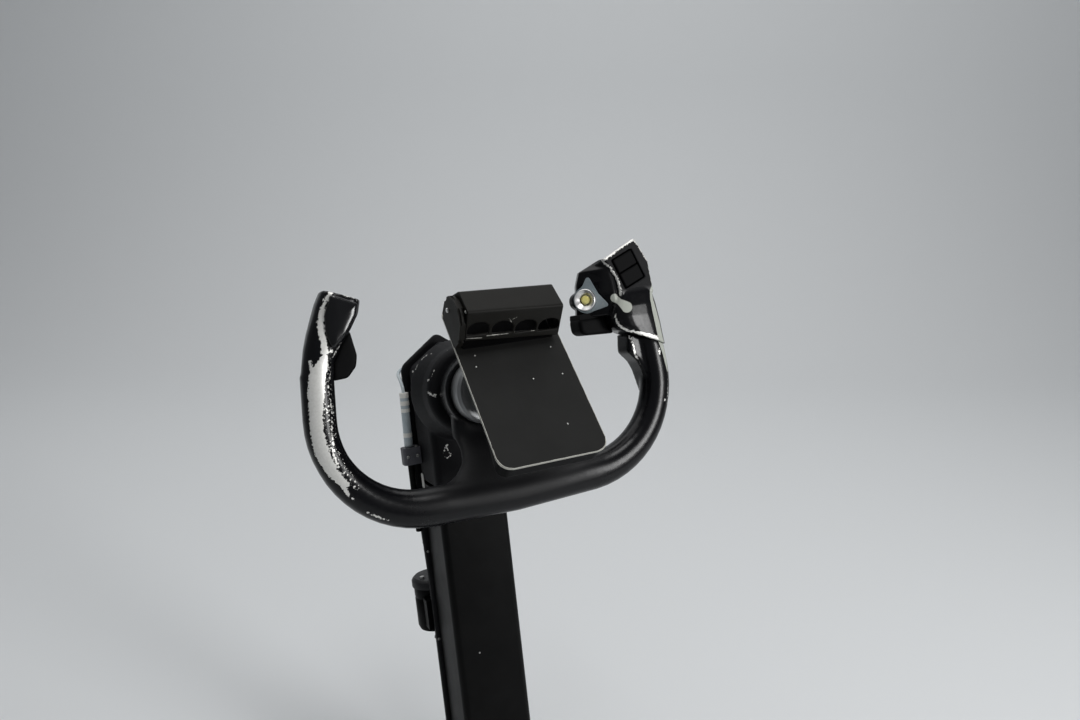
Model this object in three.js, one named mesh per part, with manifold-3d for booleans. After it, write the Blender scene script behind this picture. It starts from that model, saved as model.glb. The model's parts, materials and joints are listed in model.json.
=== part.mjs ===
// Airliner control column with its control wheel and chart board.
// Millimetres, +Z up, the pilot sits at -Y and looks along +Y, +X is the pilot's right.
// The origin is the middle of the floor plate's underside.
import * as THREE from 'three';
import { mergeVertices } from 'three/addons/utils/BufferGeometryUtils.js';
import Module from 'manifold-3d';

const wasm = await Module();
wasm.setup();
const group = new THREE.Group();
const GAP = 0.3;

// Colours of the painted and bare surfaces
const COLOUR = {
  enamel: 0x17181a,
  satin: 0x23282f,
  olive: 0x2b2a25,
  grey: 0x77797a,
  steel: 0x9a9c9e,
  amber: 0xe8c62a,
  blue: 0x5b6a75,
  rubber: 0x141414,
};

// Driving dimensions
const PIVOT_HEIGHT = 70;
const COLUMN_LEAN = 14.5;
const WHEEL_CENTRE = [0, -20, 660];
const WHEEL_TILT = 19;
const BOARD_TILT = 35.4;
const BOARD_CENTRE = [0, -78, -1.5];

// A frame is a tilt about X, its top going forward, and the place of its own origin.
const COLUMN = { tilt: COLUMN_LEAN, at: [0, 0, PIVOT_HEIGHT] };
const WHEEL = { tilt: WHEEL_TILT, at: WHEEL_CENTRE };
const BOARD = { tilt: WHEEL_TILT + BOARD_TILT, at: placed(WHEEL, BOARD_CENTRE) };
const FLOOR = { tilt: 0, at: [0, 0, 0] };

// The world point of a point given in a frame.
function placed(frame, point) {
  const turn = new THREE.Matrix4().makeRotationX(-THREE.MathUtils.degToRad(frame.tilt));
  const moved = new THREE.Vector3(...point).applyMatrix4(turn);
  return moved.add(new THREE.Vector3(...frame.at)).toArray();
}

// The matrix that takes a solid from one frame's coordinates to another's.
function between(from, to) {
  const matrix = (frame) => new THREE.Matrix4()
    .makeRotationX(-THREE.MathUtils.degToRad(frame.tilt))
    .setPosition(...frame.at);
  return matrix(to).invert().multiply(matrix(from));
}

// A solid for joining and cutting, from any closed geometry.
function solid(geometry) {
  const bare = geometry.clone();
  bare.deleteAttribute('normal');
  bare.deleteAttribute('uv');
  const merged = mergeVertices(bare, 1e-4);
  const place = merged.attributes.position;
  const corners = merged.index.array;
  const kept = [];
  const [a, b, c] = [new THREE.Vector3(), new THREE.Vector3(), new THREE.Vector3()];
  let volume = 0;
  for (let i = 0; i < corners.length; i += 3) {
    const [p, q, r] = [corners[i], corners[i + 1], corners[i + 2]];
    if (p === q || q === r || r === p) continue;
    kept.push(p, q, r);
    a.fromBufferAttribute(place, p);
    b.fromBufferAttribute(place, q);
    c.fromBufferAttribute(place, r);
    volume += a.dot(b.cross(c));
  }
  const triVerts = new Uint32Array(volume < 0 ? kept.reverse() : kept);
  const vertProperties = new Float32Array(place.array);
  return new wasm.Manifold(new wasm.Mesh({ numProp: 3, vertProperties, triVerts }));
}

// Adds one named piece, its solid given in a frame's own coordinates.
function add(name, body, frame, colour, metalness = 0.1, roughness = 0.5) {
  const mesh = body.getMesh();
  const geometry = new THREE.BufferGeometry();
  geometry.setAttribute('position', new THREE.BufferAttribute(Float32Array.from(mesh.vertProperties), 3));
  geometry.setIndex(Array.from(mesh.triVerts));
  geometry.rotateX(-THREE.MathUtils.degToRad(frame.tilt));
  geometry.translate(...frame.at);
  geometry.computeVertexNormals();
  const material = new THREE.MeshStandardMaterial({ color: colour, metalness, roughness });
  const piece = new THREE.Mesh(geometry, material);
  piece.name = name;
  group.add(piece);
}

// A block between two corners.
function block([x0, y0, z0], [x1, y1, z1]) {
  const box = new THREE.BoxGeometry(x1 - x0, y1 - y0, z1 - z0);
  return solid(box.translate((x0 + x1) / 2, (y0 + y1) / 2, (z0 + z1) / 2));
}

// A turned solid about a line along 'x', 'y' or 'z' through a point. The profile's pairs are
// radius and place along the line.
function turned(profile, line = 'z', at = [0, 0, 0], segments = 40) {
  const points = profile.map(([radius, along]) => new THREE.Vector2(radius, along));
  const lathe = new THREE.LatheGeometry(points, segments);
  if (line === 'x') lathe.rotateZ(-Math.PI / 2);
  if (line === 'z') lathe.rotateX(Math.PI / 2);
  return solid(lathe.translate(...at));
}

// A plain round bar or disc with small chamfers.
function rod(radius, from, to, line, at, segments = 32, chamfer = 0.6) {
  const profile = [[0, from], [radius - chamfer, from], [radius, from + chamfer],
    [radius, to - chamfer], [radius - chamfer, to], [0, to]];
  return turned(profile, line, at, segments);
}

// A closed outline with one radius for each corner, from rows of across, up, radius. No corner
// is tighter than the least radius, which leaves room for a bevel.
function outline(rows, least = 0) {
  const shape = new THREE.Shape();
  rows.forEach(([x, y, wanted], i) => {
    const radius = Math.max(wanted, least);
    const here = new THREE.Vector2(x, y);
    const [px, py] = rows[(i + rows.length - 1) % rows.length];
    const [nx, ny] = rows[(i + 1) % rows.length];
    const back = new THREE.Vector2(px, py).sub(here).normalize();
    const on = new THREE.Vector2(nx, ny).sub(here).normalize();
    if (radius === 0) {
      if (i === 0) shape.moveTo(x, y);
      else shape.lineTo(x, y);
      return;
    }
    const half = Math.acos(back.dot(on)) / 2;
    const reach = radius / Math.tan(half);
    const start = here.clone().addScaledVector(back, reach);
    const end = here.clone().addScaledVector(on, reach);
    const middle = here.clone().addScaledVector(back.clone().add(on).normalize(), radius / Math.sin(half));
    if (i === 0) shape.moveTo(start.x, start.y);
    const angle = (point) => Math.atan2(point.y - middle.y, point.x - middle.x);
    shape.absarc(middle.x, middle.y, radius, angle(start), angle(end), back.cross(on) > 0);
  });
  shape.closePath();
  return shape;
}

// A rectangle about the origin with round corners, as an outline's rows.
function rectangle(halfWide, halfHigh, radius) {
  return [[-halfWide, -halfHigh, radius], [halfWide, -halfHigh, radius],
    [halfWide, halfHigh, radius], [-halfWide, halfHigh, radius]];
}

// An outline pushed from one depth to another, its edges bevelled.
function pushed(shape, from, to, bevel, curveSegments) {
  const options = {
    depth: to - from - 2 * bevel,
    bevelEnabled: bevel > 0,
    bevelSize: bevel,
    bevelThickness: bevel,
    bevelOffset: -bevel,
    bevelSegments: bevel > 2 ? 3 : 1,
    curveSegments,
  };
  return new THREE.ExtrudeGeometry(shape, options).translate(0, 0, from + bevel);
}

// The least corner radius that a bevel leaves open
const cornerFor = (bevel) => (bevel > 0 ? bevel + 0.4 : 0);

// A plate facing the pilot: the outline lies in X and Z, and the plate runs forward in Y.
function facing(rows, front, back, bevel = 0, curveSegments = 6) {
  const shape = outline(rows, cornerFor(bevel));
  return solid(pushed(shape, -back, -front, bevel, curveSegments).rotateX(Math.PI / 2));
}

// A bar across: the outline lies in Y and Z, and the bar runs along X.
function across(rows, from, to, bevel = 0, curveSegments = 6) {
  const turn = new THREE.Matrix4().makeBasis(
    new THREE.Vector3(0, 1, 0), new THREE.Vector3(0, 0, 1), new THREE.Vector3(1, 0, 0));
  const shape = outline(rows, cornerFor(bevel));
  return solid(pushed(shape, from, to, bevel, curveSegments).applyMatrix4(turn));
}

// An upright bar: the outline lies in X and Y, and the bar runs along Z.
function upright(rows, from, to, bevel = 0, curveSegments = 6) {
  return solid(pushed(outline(rows, cornerFor(bevel)), from, to, bevel, curveSegments));
}

// A skin over rings of equal length, closed at both ends.
function loft(rings) {
  const count = rings[0].length;
  const points = rings.flat();
  const faces = [];
  for (let k = 0; k + 1 < rings.length; k += 1) {
    for (let i = 0; i < count; i += 1) {
      const j = (i + 1) % count;
      const [a, b, c, d] = [k * count + i, k * count + j, (k + 1) * count + j, (k + 1) * count + i];
      faces.push(a, b, c, a, c, d);
    }
  }
  [0, rings.length - 1].forEach((k) => {
    const ring = rings[k];
    const middle = ring.reduce((sum, p) => sum.add(p), new THREE.Vector3()).divideScalar(count);
    points.push(middle);
    for (let i = 0; i < count; i += 1) {
      const [a, b] = [k * count + i, k * count + ((i + 1) % count)];
      faces.push(points.length - 1, k === 0 ? b : a, k === 0 ? a : b);
    }
  });
  const geometry = new THREE.BufferGeometry().setFromPoints(points);
  geometry.setIndex(faces);
  return solid(geometry);
}

// A skin over outlines at several places along a line, from rows of place, outline, scale. The
// outlines have like corners, and the turn says where across, up and along lie.
function skinned(levels, turn) {
  return loft(levels.map(([along, rows, scale = 1]) => {
    const points = outline(rows, 1).getPoints(3);
    const middle = points.reduce((sum, p) => sum.add(p), new THREE.Vector2()).divideScalar(points.length);
    return points.map((p) => turn(p.sub(middle).multiplyScalar(scale).add(middle), along));
  }));
}

// One ring of a rounded, four-sided section. Squareness 2 is an ellipse, more is boxier.
function ring(centre, side, depth, halfWide, halfDeep, squareness = 2, count = 28) {
  const points = [];
  for (let i = 0; i < count; i += 1) {
    const turn = (2 * Math.PI * i) / count;
    const [c, s] = [Math.cos(turn), Math.sin(turn)];
    const wide = halfWide * Math.sign(c) * Math.abs(c) ** (2 / squareness);
    const deep = halfDeep * Math.sign(s) * Math.abs(s) ** (2 / squareness);
    points.push(centre.clone().addScaledVector(side, wide).addScaledVector(depth, deep));
  }
  return points;
}

const X = new THREE.Vector3(1, 0, 0);
const Y = new THREE.Vector3(0, 1, 0);

// Floor plate with its four bolt heads, the mount's face underneath
const PLATE = { halfWide: 150, halfDeep: 110, thick: 12, radius: 16 };
const BOLT = { x: 128, y: 88, radius: 9, height: 7 };
let plate = upright(rectangle(PLATE.halfWide, PLATE.halfDeep, PLATE.radius), 0, PLATE.thick, 1.5);
for (const sideX of [-1, 1]) {
  for (const sideY of [-1, 1]) {
    plate = plate.add(rod(BOLT.radius, PLATE.thick - 1, PLATE.thick + BOLT.height, 'z',
      [sideX * BOLT.x, sideY * BOLT.y, 0], 6, 0.8));
  }
}
add('floor_plate', plate, FLOOR, COLOUR.steel, 0.6, 0.5);

// Bearing blocks that carry the torque tube, one each side
const TUBE = { radius: 24, half: 128 };
const BEARING = { x0: 92, x1: 116, halfFoot: 42, halfTop: 33, top: PIVOT_HEIGHT + 34 };
for (const [name, side] of [['bearing_left', -1], ['bearing_right', 1]]) {
  const rows = [[-BEARING.halfFoot, PLATE.thick + GAP, 2], [BEARING.halfFoot, PLATE.thick + GAP, 2],
    [BEARING.halfFoot, PLATE.thick + 14, 4], [BEARING.halfTop, PIVOT_HEIGHT, 8],
    [BEARING.halfTop, BEARING.top, 26], [-BEARING.halfTop, BEARING.top, 26],
    [-BEARING.halfTop, PIVOT_HEIGHT, 8], [-BEARING.halfFoot, PLATE.thick + 14, 4]];
  const [from, to] = side < 0 ? [-BEARING.x1, -BEARING.x0] : [BEARING.x0, BEARING.x1];
  const bore = rod(TUBE.radius + GAP, from - 5, to + 5, 'x', [0, 0, PIVOT_HEIGHT], 40, 0.1);
  add(name, across(rows, from, to, 1.5).subtract(bore), FLOOR, COLOUR.steel, 0.5, 0.5);
}

// Stop post in front of the foot, with the rubber pad that the parked column leans on
const FOOT = { halfWide: 38, halfDeep: 34, eye: 36, top: 96 };
const PAD = { radius: 11, front: FOOT.halfDeep + 1, back: FOOT.halfDeep + 9, up: 44 };
add('stop_pad', rod(PAD.radius, PAD.front, PAD.back, 'y', [0, 0, PAD.up]), COLUMN, COLOUR.rubber, 0, 0.8);
const STOP = { halfWide: 18, foot: 54, tip: 100, shoulder: 26, top: 118 };
const stopRows = [[STOP.foot, PLATE.thick + GAP, 1], [STOP.tip, PLATE.thick + GAP, 1],
  [STOP.tip, STOP.shoulder, 4], [STOP.foot + 22, STOP.top, 4], [STOP.foot - 16, STOP.top, 1],
  [STOP.foot - 16, STOP.top - 50, 1]];
const behindPad = block([-60, -200, -300], [60, PAD.back + GAP, 300])
  .transform(Array.from(between(COLUMN, FLOOR).elements));
add('forward_stop', across(stopRows, -STOP.halfWide, STOP.halfWide, 1).subtract(behindPad),
  FLOOR, COLOUR.steel, 0.5, 0.5);

// Torque tube through both bearings, with the foot casting clamped round it
add('torque_tube', rod(TUBE.radius, -TUBE.half, TUBE.half, 'x', [0, 0, 0], 40, 2),
  COLUMN, COLOUR.steel, 0.7, 0.4);
const foot = upright(rectangle(FOOT.halfWide, FOOT.halfDeep, 8), 0, FOOT.top, 1.5)
  .add(rod(FOOT.eye, -FOOT.halfWide - 14, FOOT.halfWide + 14, 'x', [0, 0, 0], 40, 2))
  .subtract(rod(TUBE.radius + GAP, -200, 200, 'x', [0, 0, 0], 40, 0.1));
add('column_foot', foot, COLUMN, COLOUR.satin, 0.3, 0.5);

// Cable arm on the torque tube's left end
const ARM = { x0: -88, x1: -76, reach: 46, radius: 33 };
const arm = across([[-20, 0, 2], [20, 0, 2], [9, -ARM.reach, 7], [-9, -ARM.reach, 7]], ARM.x0, ARM.x1)
  .add(rod(ARM.radius, ARM.x0 + 0.1, ARM.x1 - 0.1, 'x', [0, 0, 0], 40))
  .subtract(rod(TUBE.radius + GAP, -200, 200, 'x', [0, 0, 0], 40, 0.1));
add('cable_arm', arm, COLUMN, COLOUR.steel, 0.5, 0.5);

// Column box from the foot to the head, with the flanged back plate behind it
const BOX = { halfWide: 43, front: -38, back: 29, radius: 8, foot: 62, seam: 440 };
const HEAD = { spring: 583, top: 612 };
const boxRows = [[-BOX.halfWide, BOX.front, BOX.radius], [BOX.halfWide, BOX.front, BOX.radius],
  [BOX.halfWide, BOX.back, 2], [-BOX.halfWide, BOX.back, 2]];
const socket = block([-FOOT.halfWide - GAP, -FOOT.halfDeep - GAP, 0],
  [FOOT.halfWide + GAP, BOX.back + 5, FOOT.top + GAP]);
add('column_box', upright(boxRows, BOX.foot, BOX.seam).subtract(socket), COLUMN, COLOUR.satin, 0.2, 0.5);

// The head casting: the box goes on up to a round top, and a boss carries the wheel's shaft
const BOSS = { front: 83, radius: 53, root: 60, bore: 19 };
const boss = turned([[0, BOSS.front], [BOSS.radius - 6, BOSS.front], [BOSS.radius - 2, BOSS.front + 1.8],
  [BOSS.radius, BOSS.front + 6], [BOSS.radius + 1, BOSS.front + 22], [BOSS.root, BOSS.front + 52],
  [0, BOSS.front + 52]], 'y', [0, 0, 0], 48);
const shaftHole = rod(BOSS.bore, BOSS.front - 4, BOSS.front + 34, 'y', [0, 0, 0], 36, 0.1);
const toColumn = Array.from(between(WHEEL, COLUMN).elements);
const headSide = [[BOX.halfWide, BOX.seam + GAP, 0], [BOX.halfWide, HEAD.spring, 16]];
const headLeft = headSide.map(([x, z, radius]) => [-x, z, radius]).reverse();
const head = facing([...headSide, [0, HEAD.top, 8], ...headLeft], BOX.front, BOX.back, 7)
  .add(boss.transform(toColumn))
  .subtract(shaftHole.transform(toColumn));
add('column_head', head, COLUMN, COLOUR.enamel, 0.2, 0.45);

// Back plate, wider than the box so that its edge shows as a flange down both sides
const FLANGE = {
  halfWide: 50,
  lowHalf: 48,
  front: BOX.back + GAP,
  back: 38,
  foot: 110,
  spring: 585,
  top: 621,
};
const FLANGE_TAPER = { from: 310, to: 380, ease: 60 };
const flangeSide = [
  [FLANGE.lowHalf, FLANGE.foot, 0],
  [FLANGE.lowHalf, FLANGE_TAPER.from, FLANGE_TAPER.ease],
  [FLANGE.halfWide, FLANGE_TAPER.to, FLANGE_TAPER.ease],
  [FLANGE.halfWide, FLANGE.spring, 16],
];
const flangeLeft = flangeSide.map(([x, z, radius]) => [-x, z, radius]).reverse();
const flange = facing([...flangeSide, [0, FLANGE.top, 8], ...flangeLeft], FLANGE.front, FLANGE.back, 1.2);
add('column_back_plate', flange, COLUMN, COLOUR.satin, 0.3, 0.45);

// Stick shaker motor on the back plate, low on the left, with its lid and saddle
const SHAKER = { x: -33.5, y: 70, bottom: 233, top: 292, radius: 25, lid: 12 };
const shakerAt = [SHAKER.x, SHAKER.y, 0];
add('shaker_motor', turned([[0, SHAKER.bottom], [SHAKER.radius - 7, SHAKER.bottom],
  [SHAKER.radius - 2, SHAKER.bottom + 2], [SHAKER.radius, SHAKER.bottom + 7],
  [SHAKER.radius, SHAKER.top], [0, SHAKER.top]], 'z', shakerAt), COLUMN, COLOUR.rubber, 0.2, 0.5);
add('shaker_lid', turned([[0, SHAKER.top + GAP], [SHAKER.radius + 2, SHAKER.top + GAP],
  [SHAKER.radius + 2, SHAKER.top + 8], [SHAKER.radius - 2, SHAKER.top + SHAKER.lid],
  [0, SHAKER.top + SHAKER.lid]], 'z', shakerAt), COLUMN, COLOUR.grey, 0.4, 0.5);
const SADDLE = { half: 20, low: 243, high: 282 };
const saddle = block([SHAKER.x - SADDLE.half, FLANGE.back + GAP, SADDLE.low],
  [SHAKER.x + SADDLE.half, SHAKER.y, SADDLE.high])
  .subtract(rod(SHAKER.radius + GAP, 200, 400, 'z', shakerAt, 40, 0.1));
add('shaker_saddle', saddle, COLUMN, COLOUR.satin, 0.3, 0.5);

// Wiring sleeve up the left side with the lead that leaves it for a gland on the back plate, its
// clamp block on the column and the bare rod under it
const WIRE = { x: -55.5, y: 21, radius: 5.3, rod: 4 };
const CLAMP = { bottom: 466, top: 487, outer: -65, front: 12 };
const SLEEVE = { top: 553, lean: 1.8 };
const LEAD = { radius: 2.1, gland: [-32, 0, 584], glandRadius: 5 };
const route = [[-53.5, WIRE.y, SLEEVE.top - 4], [-53.4, 23.5, 561], [-53.4, 31, 570],
  [-52.8, 39, 576], [-46, 44, 581], [LEAD.gland[0], 44, LEAD.gland[2]]];
const routePoints = route.map((p) => new THREE.Vector3(...p));
const leadPath = new THREE.CatmullRomCurve3(routePoints, false, 'catmullrom', 0.5);
const leadRing = new THREE.Shape().absarc(0, 0, LEAD.radius, 0, 2 * Math.PI);
const lead = new THREE.ExtrudeGeometry(leadRing, { steps: 20, curveSegments: 5, extrudePath: leadPath });
const gland = rod(LEAD.glandRadius, FLANGE.back + GAP, FLANGE.back + 11, 'y', LEAD.gland, 16, 1);
const sleeve = rod(WIRE.radius, GAP, SLEEVE.top - CLAMP.top, 'z', [0, 0, 0], 28, 1.4)
  .rotate([0, SLEEVE.lean, 0]).translate([WIRE.x, WIRE.y, CLAMP.top]);
add('wiring_sleeve', sleeve.add(solid(lead)).add(gland), COLUMN, COLOUR.blue, 0.2, 0.5);
const clampRows = [[CLAMP.outer, CLAMP.front, 4], [-BOX.halfWide - GAP, CLAMP.front, 1],
  [-BOX.halfWide - GAP, BOX.back, 1], [CLAMP.outer, BOX.back, 4]];
add('wiring_clamp', upright(clampRows, CLAMP.bottom, CLAMP.top, 1), COLUMN, COLOUR.rubber, 0.2, 0.5);
add('wiring_rod', rod(WIRE.rod, 380, CLAMP.bottom - GAP, 'z', [WIRE.x, WIRE.y, 0], 20, 0.6),
  COLUMN, COLOUR.satin, 0.3, 0.5);

// The wheel's rim line, in the wheel's own X and Z: a bar, two bends and two horns.
const RIM = { halfSpan: 187.5, lean: 4.6, barDrop: 107, barRise: 1.9, bend: 97 };
const BAR_HALF = { wide: 20, deep: 18 };
const HORN_HALF = { wide: 16, deep: 17 };

// Stations along the right half, from the bar's middle up to a height on the horn.
function rimHalf(heights) {
  const lean = THREE.MathUtils.degToRad(RIM.lean);
  const rise = THREE.MathUtils.degToRad(RIM.barRise);
  const alongBar = new THREE.Vector2(Math.cos(rise), Math.sin(rise));
  const upHorn = new THREE.Vector2(-Math.sin(lean), Math.cos(lean));
  const cornerX = (RIM.halfSpan + RIM.barDrop * Math.tan(lean)) / (1 + Math.tan(rise) * Math.tan(lean));
  const corner = new THREE.Vector2(cornerX, cornerX * Math.tan(rise) - RIM.barDrop);
  const turn = Math.PI / 2 + lean - rise;
  const cut = RIM.bend * Math.tan(turn / 2);
  const start = corner.clone().addScaledVector(alongBar, -cut);
  const middle = start.clone().add(new THREE.Vector2(-alongBar.y, alongBar.x).multiplyScalar(RIM.bend));
  const stations = [{ x: 0, z: -RIM.barDrop, turn: 0, part: 0 }];
  stations.push({ x: start.x * 0.5, z: (start.y - RIM.barDrop) / 2, turn: rise, part: 0 });
  const steps = 14;
  for (let i = 0; i <= steps; i += 1) {
    const angle = rise + (turn * i) / steps;
    stations.push({
      x: middle.x + RIM.bend * Math.sin(angle),
      z: middle.y - RIM.bend * Math.cos(angle),
      turn: angle,
      part: i / steps,
    });
  }
  for (const height of heights) {
    const along = (height - corner.y) / upHorn.y;
    stations.push({ x: corner.x + upHorn.x * along, z: height, turn: rise + turn, part: 1 });
  }
  return stations;
}

// The ring of the rim's section at one station, on the side given by 1 or -1.
function rimRing({ x, z, turn, part }, side) {
  const wide = THREE.MathUtils.lerp(BAR_HALF.wide, HORN_HALF.wide, Math.min(1, part * 1.4));
  const deep = THREE.MathUtils.lerp(BAR_HALF.deep, HORN_HALF.deep, part);
  const outward = new THREE.Vector3(side * Math.sin(turn), 0, -Math.cos(turn));
  return ring(new THREE.Vector3(side * x, 0, z), outward, Y, wide, deep, 2.2);
}

const HORN_TOP = { left: [20, 44], right: [20, 60] };
const rimRings = [
  ...rimHalf(HORN_TOP.left).reverse().map((station) => rimRing(station, -1)),
  ...rimHalf(HORN_TOP.right).slice(1).map((station) => rimRing(station, 1)),
];

// The spoke: sections from inside the bar up into the hub's drum
const SPOKE = [
  // height, forward, half width, half depth
  [-104, -2, 100, 11],
  [-92, 2, 84, 12],
  [-82, 12, 60, 12],
  [-72, 25, 46, 12],
  [-60, 42, 39.5, 12],
  [-46, 59, 39, 12],
  [-20, 66, 36, 12],
];
const spoke = loft(SPOKE.map(([z, y, wide, deep]) => ring(
  new THREE.Vector3(0, y, z), X, Y, wide, deep, 4, 32)));

// The hub's drum, and the shaft that goes into the boss
const HUB = { radius: 43, front: 51, back: 79, cap: 36.5, capFront: 30 };
const drum = turned([[0, HUB.front + 4], [HUB.cap + 2, HUB.front + 4], [HUB.cap + 3, HUB.front],
  [HUB.radius - 2, HUB.front], [HUB.radius, HUB.front + 2], [HUB.radius, HUB.back - 2],
  [HUB.radius - 2, HUB.back], [0, HUB.back]], 'y', [0, 0, 0], 56);

// The left horn's head widens inboard under its flat cover
const LEFT_HEAD = [
  // height, outer x, inner x, front y, back y, squareness
  [38, -200.4, -168.4, -17, 17, 2.2],
  [54, -197, -166.5, -17, 17, 2.2],
  [70, -193, -157, -18, 18, 2.6],
  [84, -188, -146, -18, 19, 3.2],
  [98, -182, -137, -18, 20, 3.6],
  [112, -176, -133, -18, 20, 3.6],
  [126, -168, -131, -18, 20, 3.6],
];
const leftHead = loft(LEFT_HEAD.map(([z, outer, inner, front, back, square]) => ring(
  new THREE.Vector3((outer + inner) / 2, (front + back) / 2, z), X, Y,
  (inner - outer) / 2, (back - front) / 2, square)));
const LEFT_TOP = { x: -164, z: 122, slope: 21 };
const leftTrim = block([-60, -60, 0], [60, 60, 60]).rotate([0, LEFT_TOP.slope, 0])
  .translate([LEFT_TOP.x, 0, LEFT_TOP.z]);

const capSeat = rod(HUB.cap + GAP, 0, HUB.front + 4, 'y', [0, 0, 0], 56, 0.1);
const ringFace = rod(HUB.radius, 0, HUB.front, 'y', [0, 0, 0], 56, 0.1);
// The switch head sits on the right horn, cut off on a slant
const SEAT = { x: 165, z: 36.5, slope: 21.5 };
const onSeat = (low, high) => block([-60, -60, low], [60, 60, high])
  .rotate([0, SEAT.slope, 0]).translate([SEAT.x, 0, SEAT.z]);
// A finger guard fills the corner between the switch head and the right grip's inboard side
const GUARD_ROWS = [[186, 50, 1], [156, 50, 2], [156.5, 36, 8], [154.5, 19, 6], [165.5, 7, 10],
  [170, -4, 12], [176, -30, 4], [186, -30, 1]];
const guard = facing(GUARD_ROWS, -9, 20, 2, 3);
const wheel = loft(rimRings).add(spoke.subtract(ringFace)).add(drum).subtract(capSeat)
  .add(leftHead.subtract(leftTrim)).add(guard).subtract(onSeat(-GAP, 90));
add('wheel_casting', wheel, WHEEL, COLOUR.enamel, 0.2, 0.3);

add('wheel_shaft', rod(BOSS.bore - 1, HUB.back + GAP, BOSS.front + 30, 'y', [0, 0, 0], 36),
  WHEEL, COLOUR.steel, 0.8, 0.3);
add('hub_cap', turned([[0, HUB.capFront], [HUB.cap - 3, HUB.capFront], [HUB.cap, HUB.capFront + 3],
  [HUB.cap, HUB.front + 4 - GAP], [0, HUB.front + 4 - GAP]], 'y', [0, 0, 0], 56),
  WHEEL, COLOUR.grey, 0.5, 0.4);

// Flat cover let into the left head's face, shaped like a shield
const COVER = [[-178, 96, 4], [-169, 117, 5], [-162, 119, 4], [-138, 108.5, 4], [-145, 88, 8],
  [-160, 72, 6], [-175, 62, 2]];
add('left_head_cover', facing(COVER, -21.5, -18 - GAP, 1), WHEEL, COLOUR.enamel, 0.2, 0.25);

// Push-to-talk trigger under the left head, on the horn's inboard side
const TRIGGER_ROWS = [[-172, 36, 2], [-154, 37, 5], [-144.5, 47, 5], [-142, 58, 6], [-146, 84, 4],
  [-172, 84, 2]];
const trigger = facing(TRIGGER_ROWS, 0, 22, 2.5).subtract(wheel);
add('transmit_trigger', trigger.subtract(leftTrim), WHEEL, COLOUR.rubber, 0.1, 0.5);

// Switch head on the right horn: a square face, a boot that swells out over the horn, a lobe
// inboard of the face, and a round nose at the lobe's end
const FACE = { front: -17, back: 36, bottom: 80, bevel: 1.6 };
const FRONT_ROWS = [[133.5, 124, 2], [175.5, 144, 3], [189.5, 117, 4], [192, FACE.bottom, 3],
  [150, FACE.bottom, 3], [146.5, 102, 3]];
const BACK_ROWS = [[126, 114, 3], [166, 121, 4], [184, 108, 4], [189, FACE.bottom, 3],
  [150, FACE.bottom, 3], [138, 98, 3]];
const BOOT = [
  // height, inner x, outer x, front y, back y, squareness
  [14, 164, 204, -18, 17, 2.4],
  [38, 149, 201, -20, 19, 2.7],
  [48, 141, 199.5, -21, 20, 3],
  [58, 137, 198, -21.5, 20.5, 3],
  [70, 139.5, 196.5, -21, 21, 3],
  [82, 146, 193.5, -19, 22, 3.4],
  [88, 149, 191.5, -17.5, 22, 3.6],
];
const boot = loft(BOOT.map(([z, inner, outer, front, back, square]) => ring(
  new THREE.Vector3((outer + inner) / 2, (front + back) / 2, z), X, Y,
  (outer - inner) / 2, (back - front) / 2, square, 32)));
const LOBE = { near: [142, -15], far: [105, 20], nose: 10 };
const lobeRows = (near, end, back) => [[...near, 2], [...end, 4], [end[0] + 6, end[1] + 17, 6],
  [150, 34, 3], [back, -8, 2]];
const lookingForward = (p, y) => new THREE.Vector3(p.x, y, p.y);
const lookingDown = (p, z) => new THREE.Vector3(p.x, p.y, z);
const switchHead = skinned([
  [FACE.front, FRONT_ROWS, 0.94], [FACE.front + FACE.bevel, FRONT_ROWS],
  [FACE.back - 4, BACK_ROWS], [FACE.back, BACK_ROWS, 0.86]], lookingForward)
  .add(skinned([
    [63, lobeRows([146, -12], [110, 17], 154), 0.94], [66, lobeRows([146, -12], [109, 17], 154)],
    [100, lobeRows(LOBE.near, [112, 14], 152)], [114, lobeRows([139, -13], [116, 11], 150)],
    [120, lobeRows([140, -11], [129, 8], 148)], [125, lobeRows([142, -8], [139, 4], 148), 0.9]],
  lookingDown))
  .add(rod(LOBE.nose, 19, 31, 'y', [118, 0, 82.4], 24, 1.5))
  .add(boot)
  .subtract(onSeat(-90, 0));
const RECESS = { x: 163, z: 110.5, halfWide: 14.5, halfHigh: 18, turn: -22, depth: 7 };
const inRecess = (body) => body.rotate([0, RECESS.turn, 0]).translate([RECESS.x, 0, RECESS.z]);
const recess = inRecess(facing(rectangle(RECESS.halfWide, RECESS.halfHigh, 1.5), FACE.front - 1,
  FACE.front + RECESS.depth));
add('switch_head', switchHead.subtract(recess), WHEEL, COLOUR.enamel, 0.2, 0.35);

// Two trim rockers one above the other in the recess
for (const [name, side] of [['trim_rocker_upper', 1], ['trim_rocker_lower', -1]]) {
  const rocker = facing(rectangle(13, 8, 1.5), FACE.front - 0.6, FACE.front + RECESS.depth - GAP, 1);
  add(name, inRecess(rocker.translate([0, 0, side * 8.6])), WHEEL, COLOUR.rubber, 0.1, 0.4);
}

// Housing of the transmit switch, hung under the lobe
const MIC_ROWS = [[107, 44, 8], [150, 42, 4], [150, 62.5, 2], [106, 62.5, 3]];
add('switch_housing', facing(MIC_ROWS, 6, 34, 3).subtract(switchHead), WHEEL, COLOUR.rubber, 0.1, 0.6);

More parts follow.
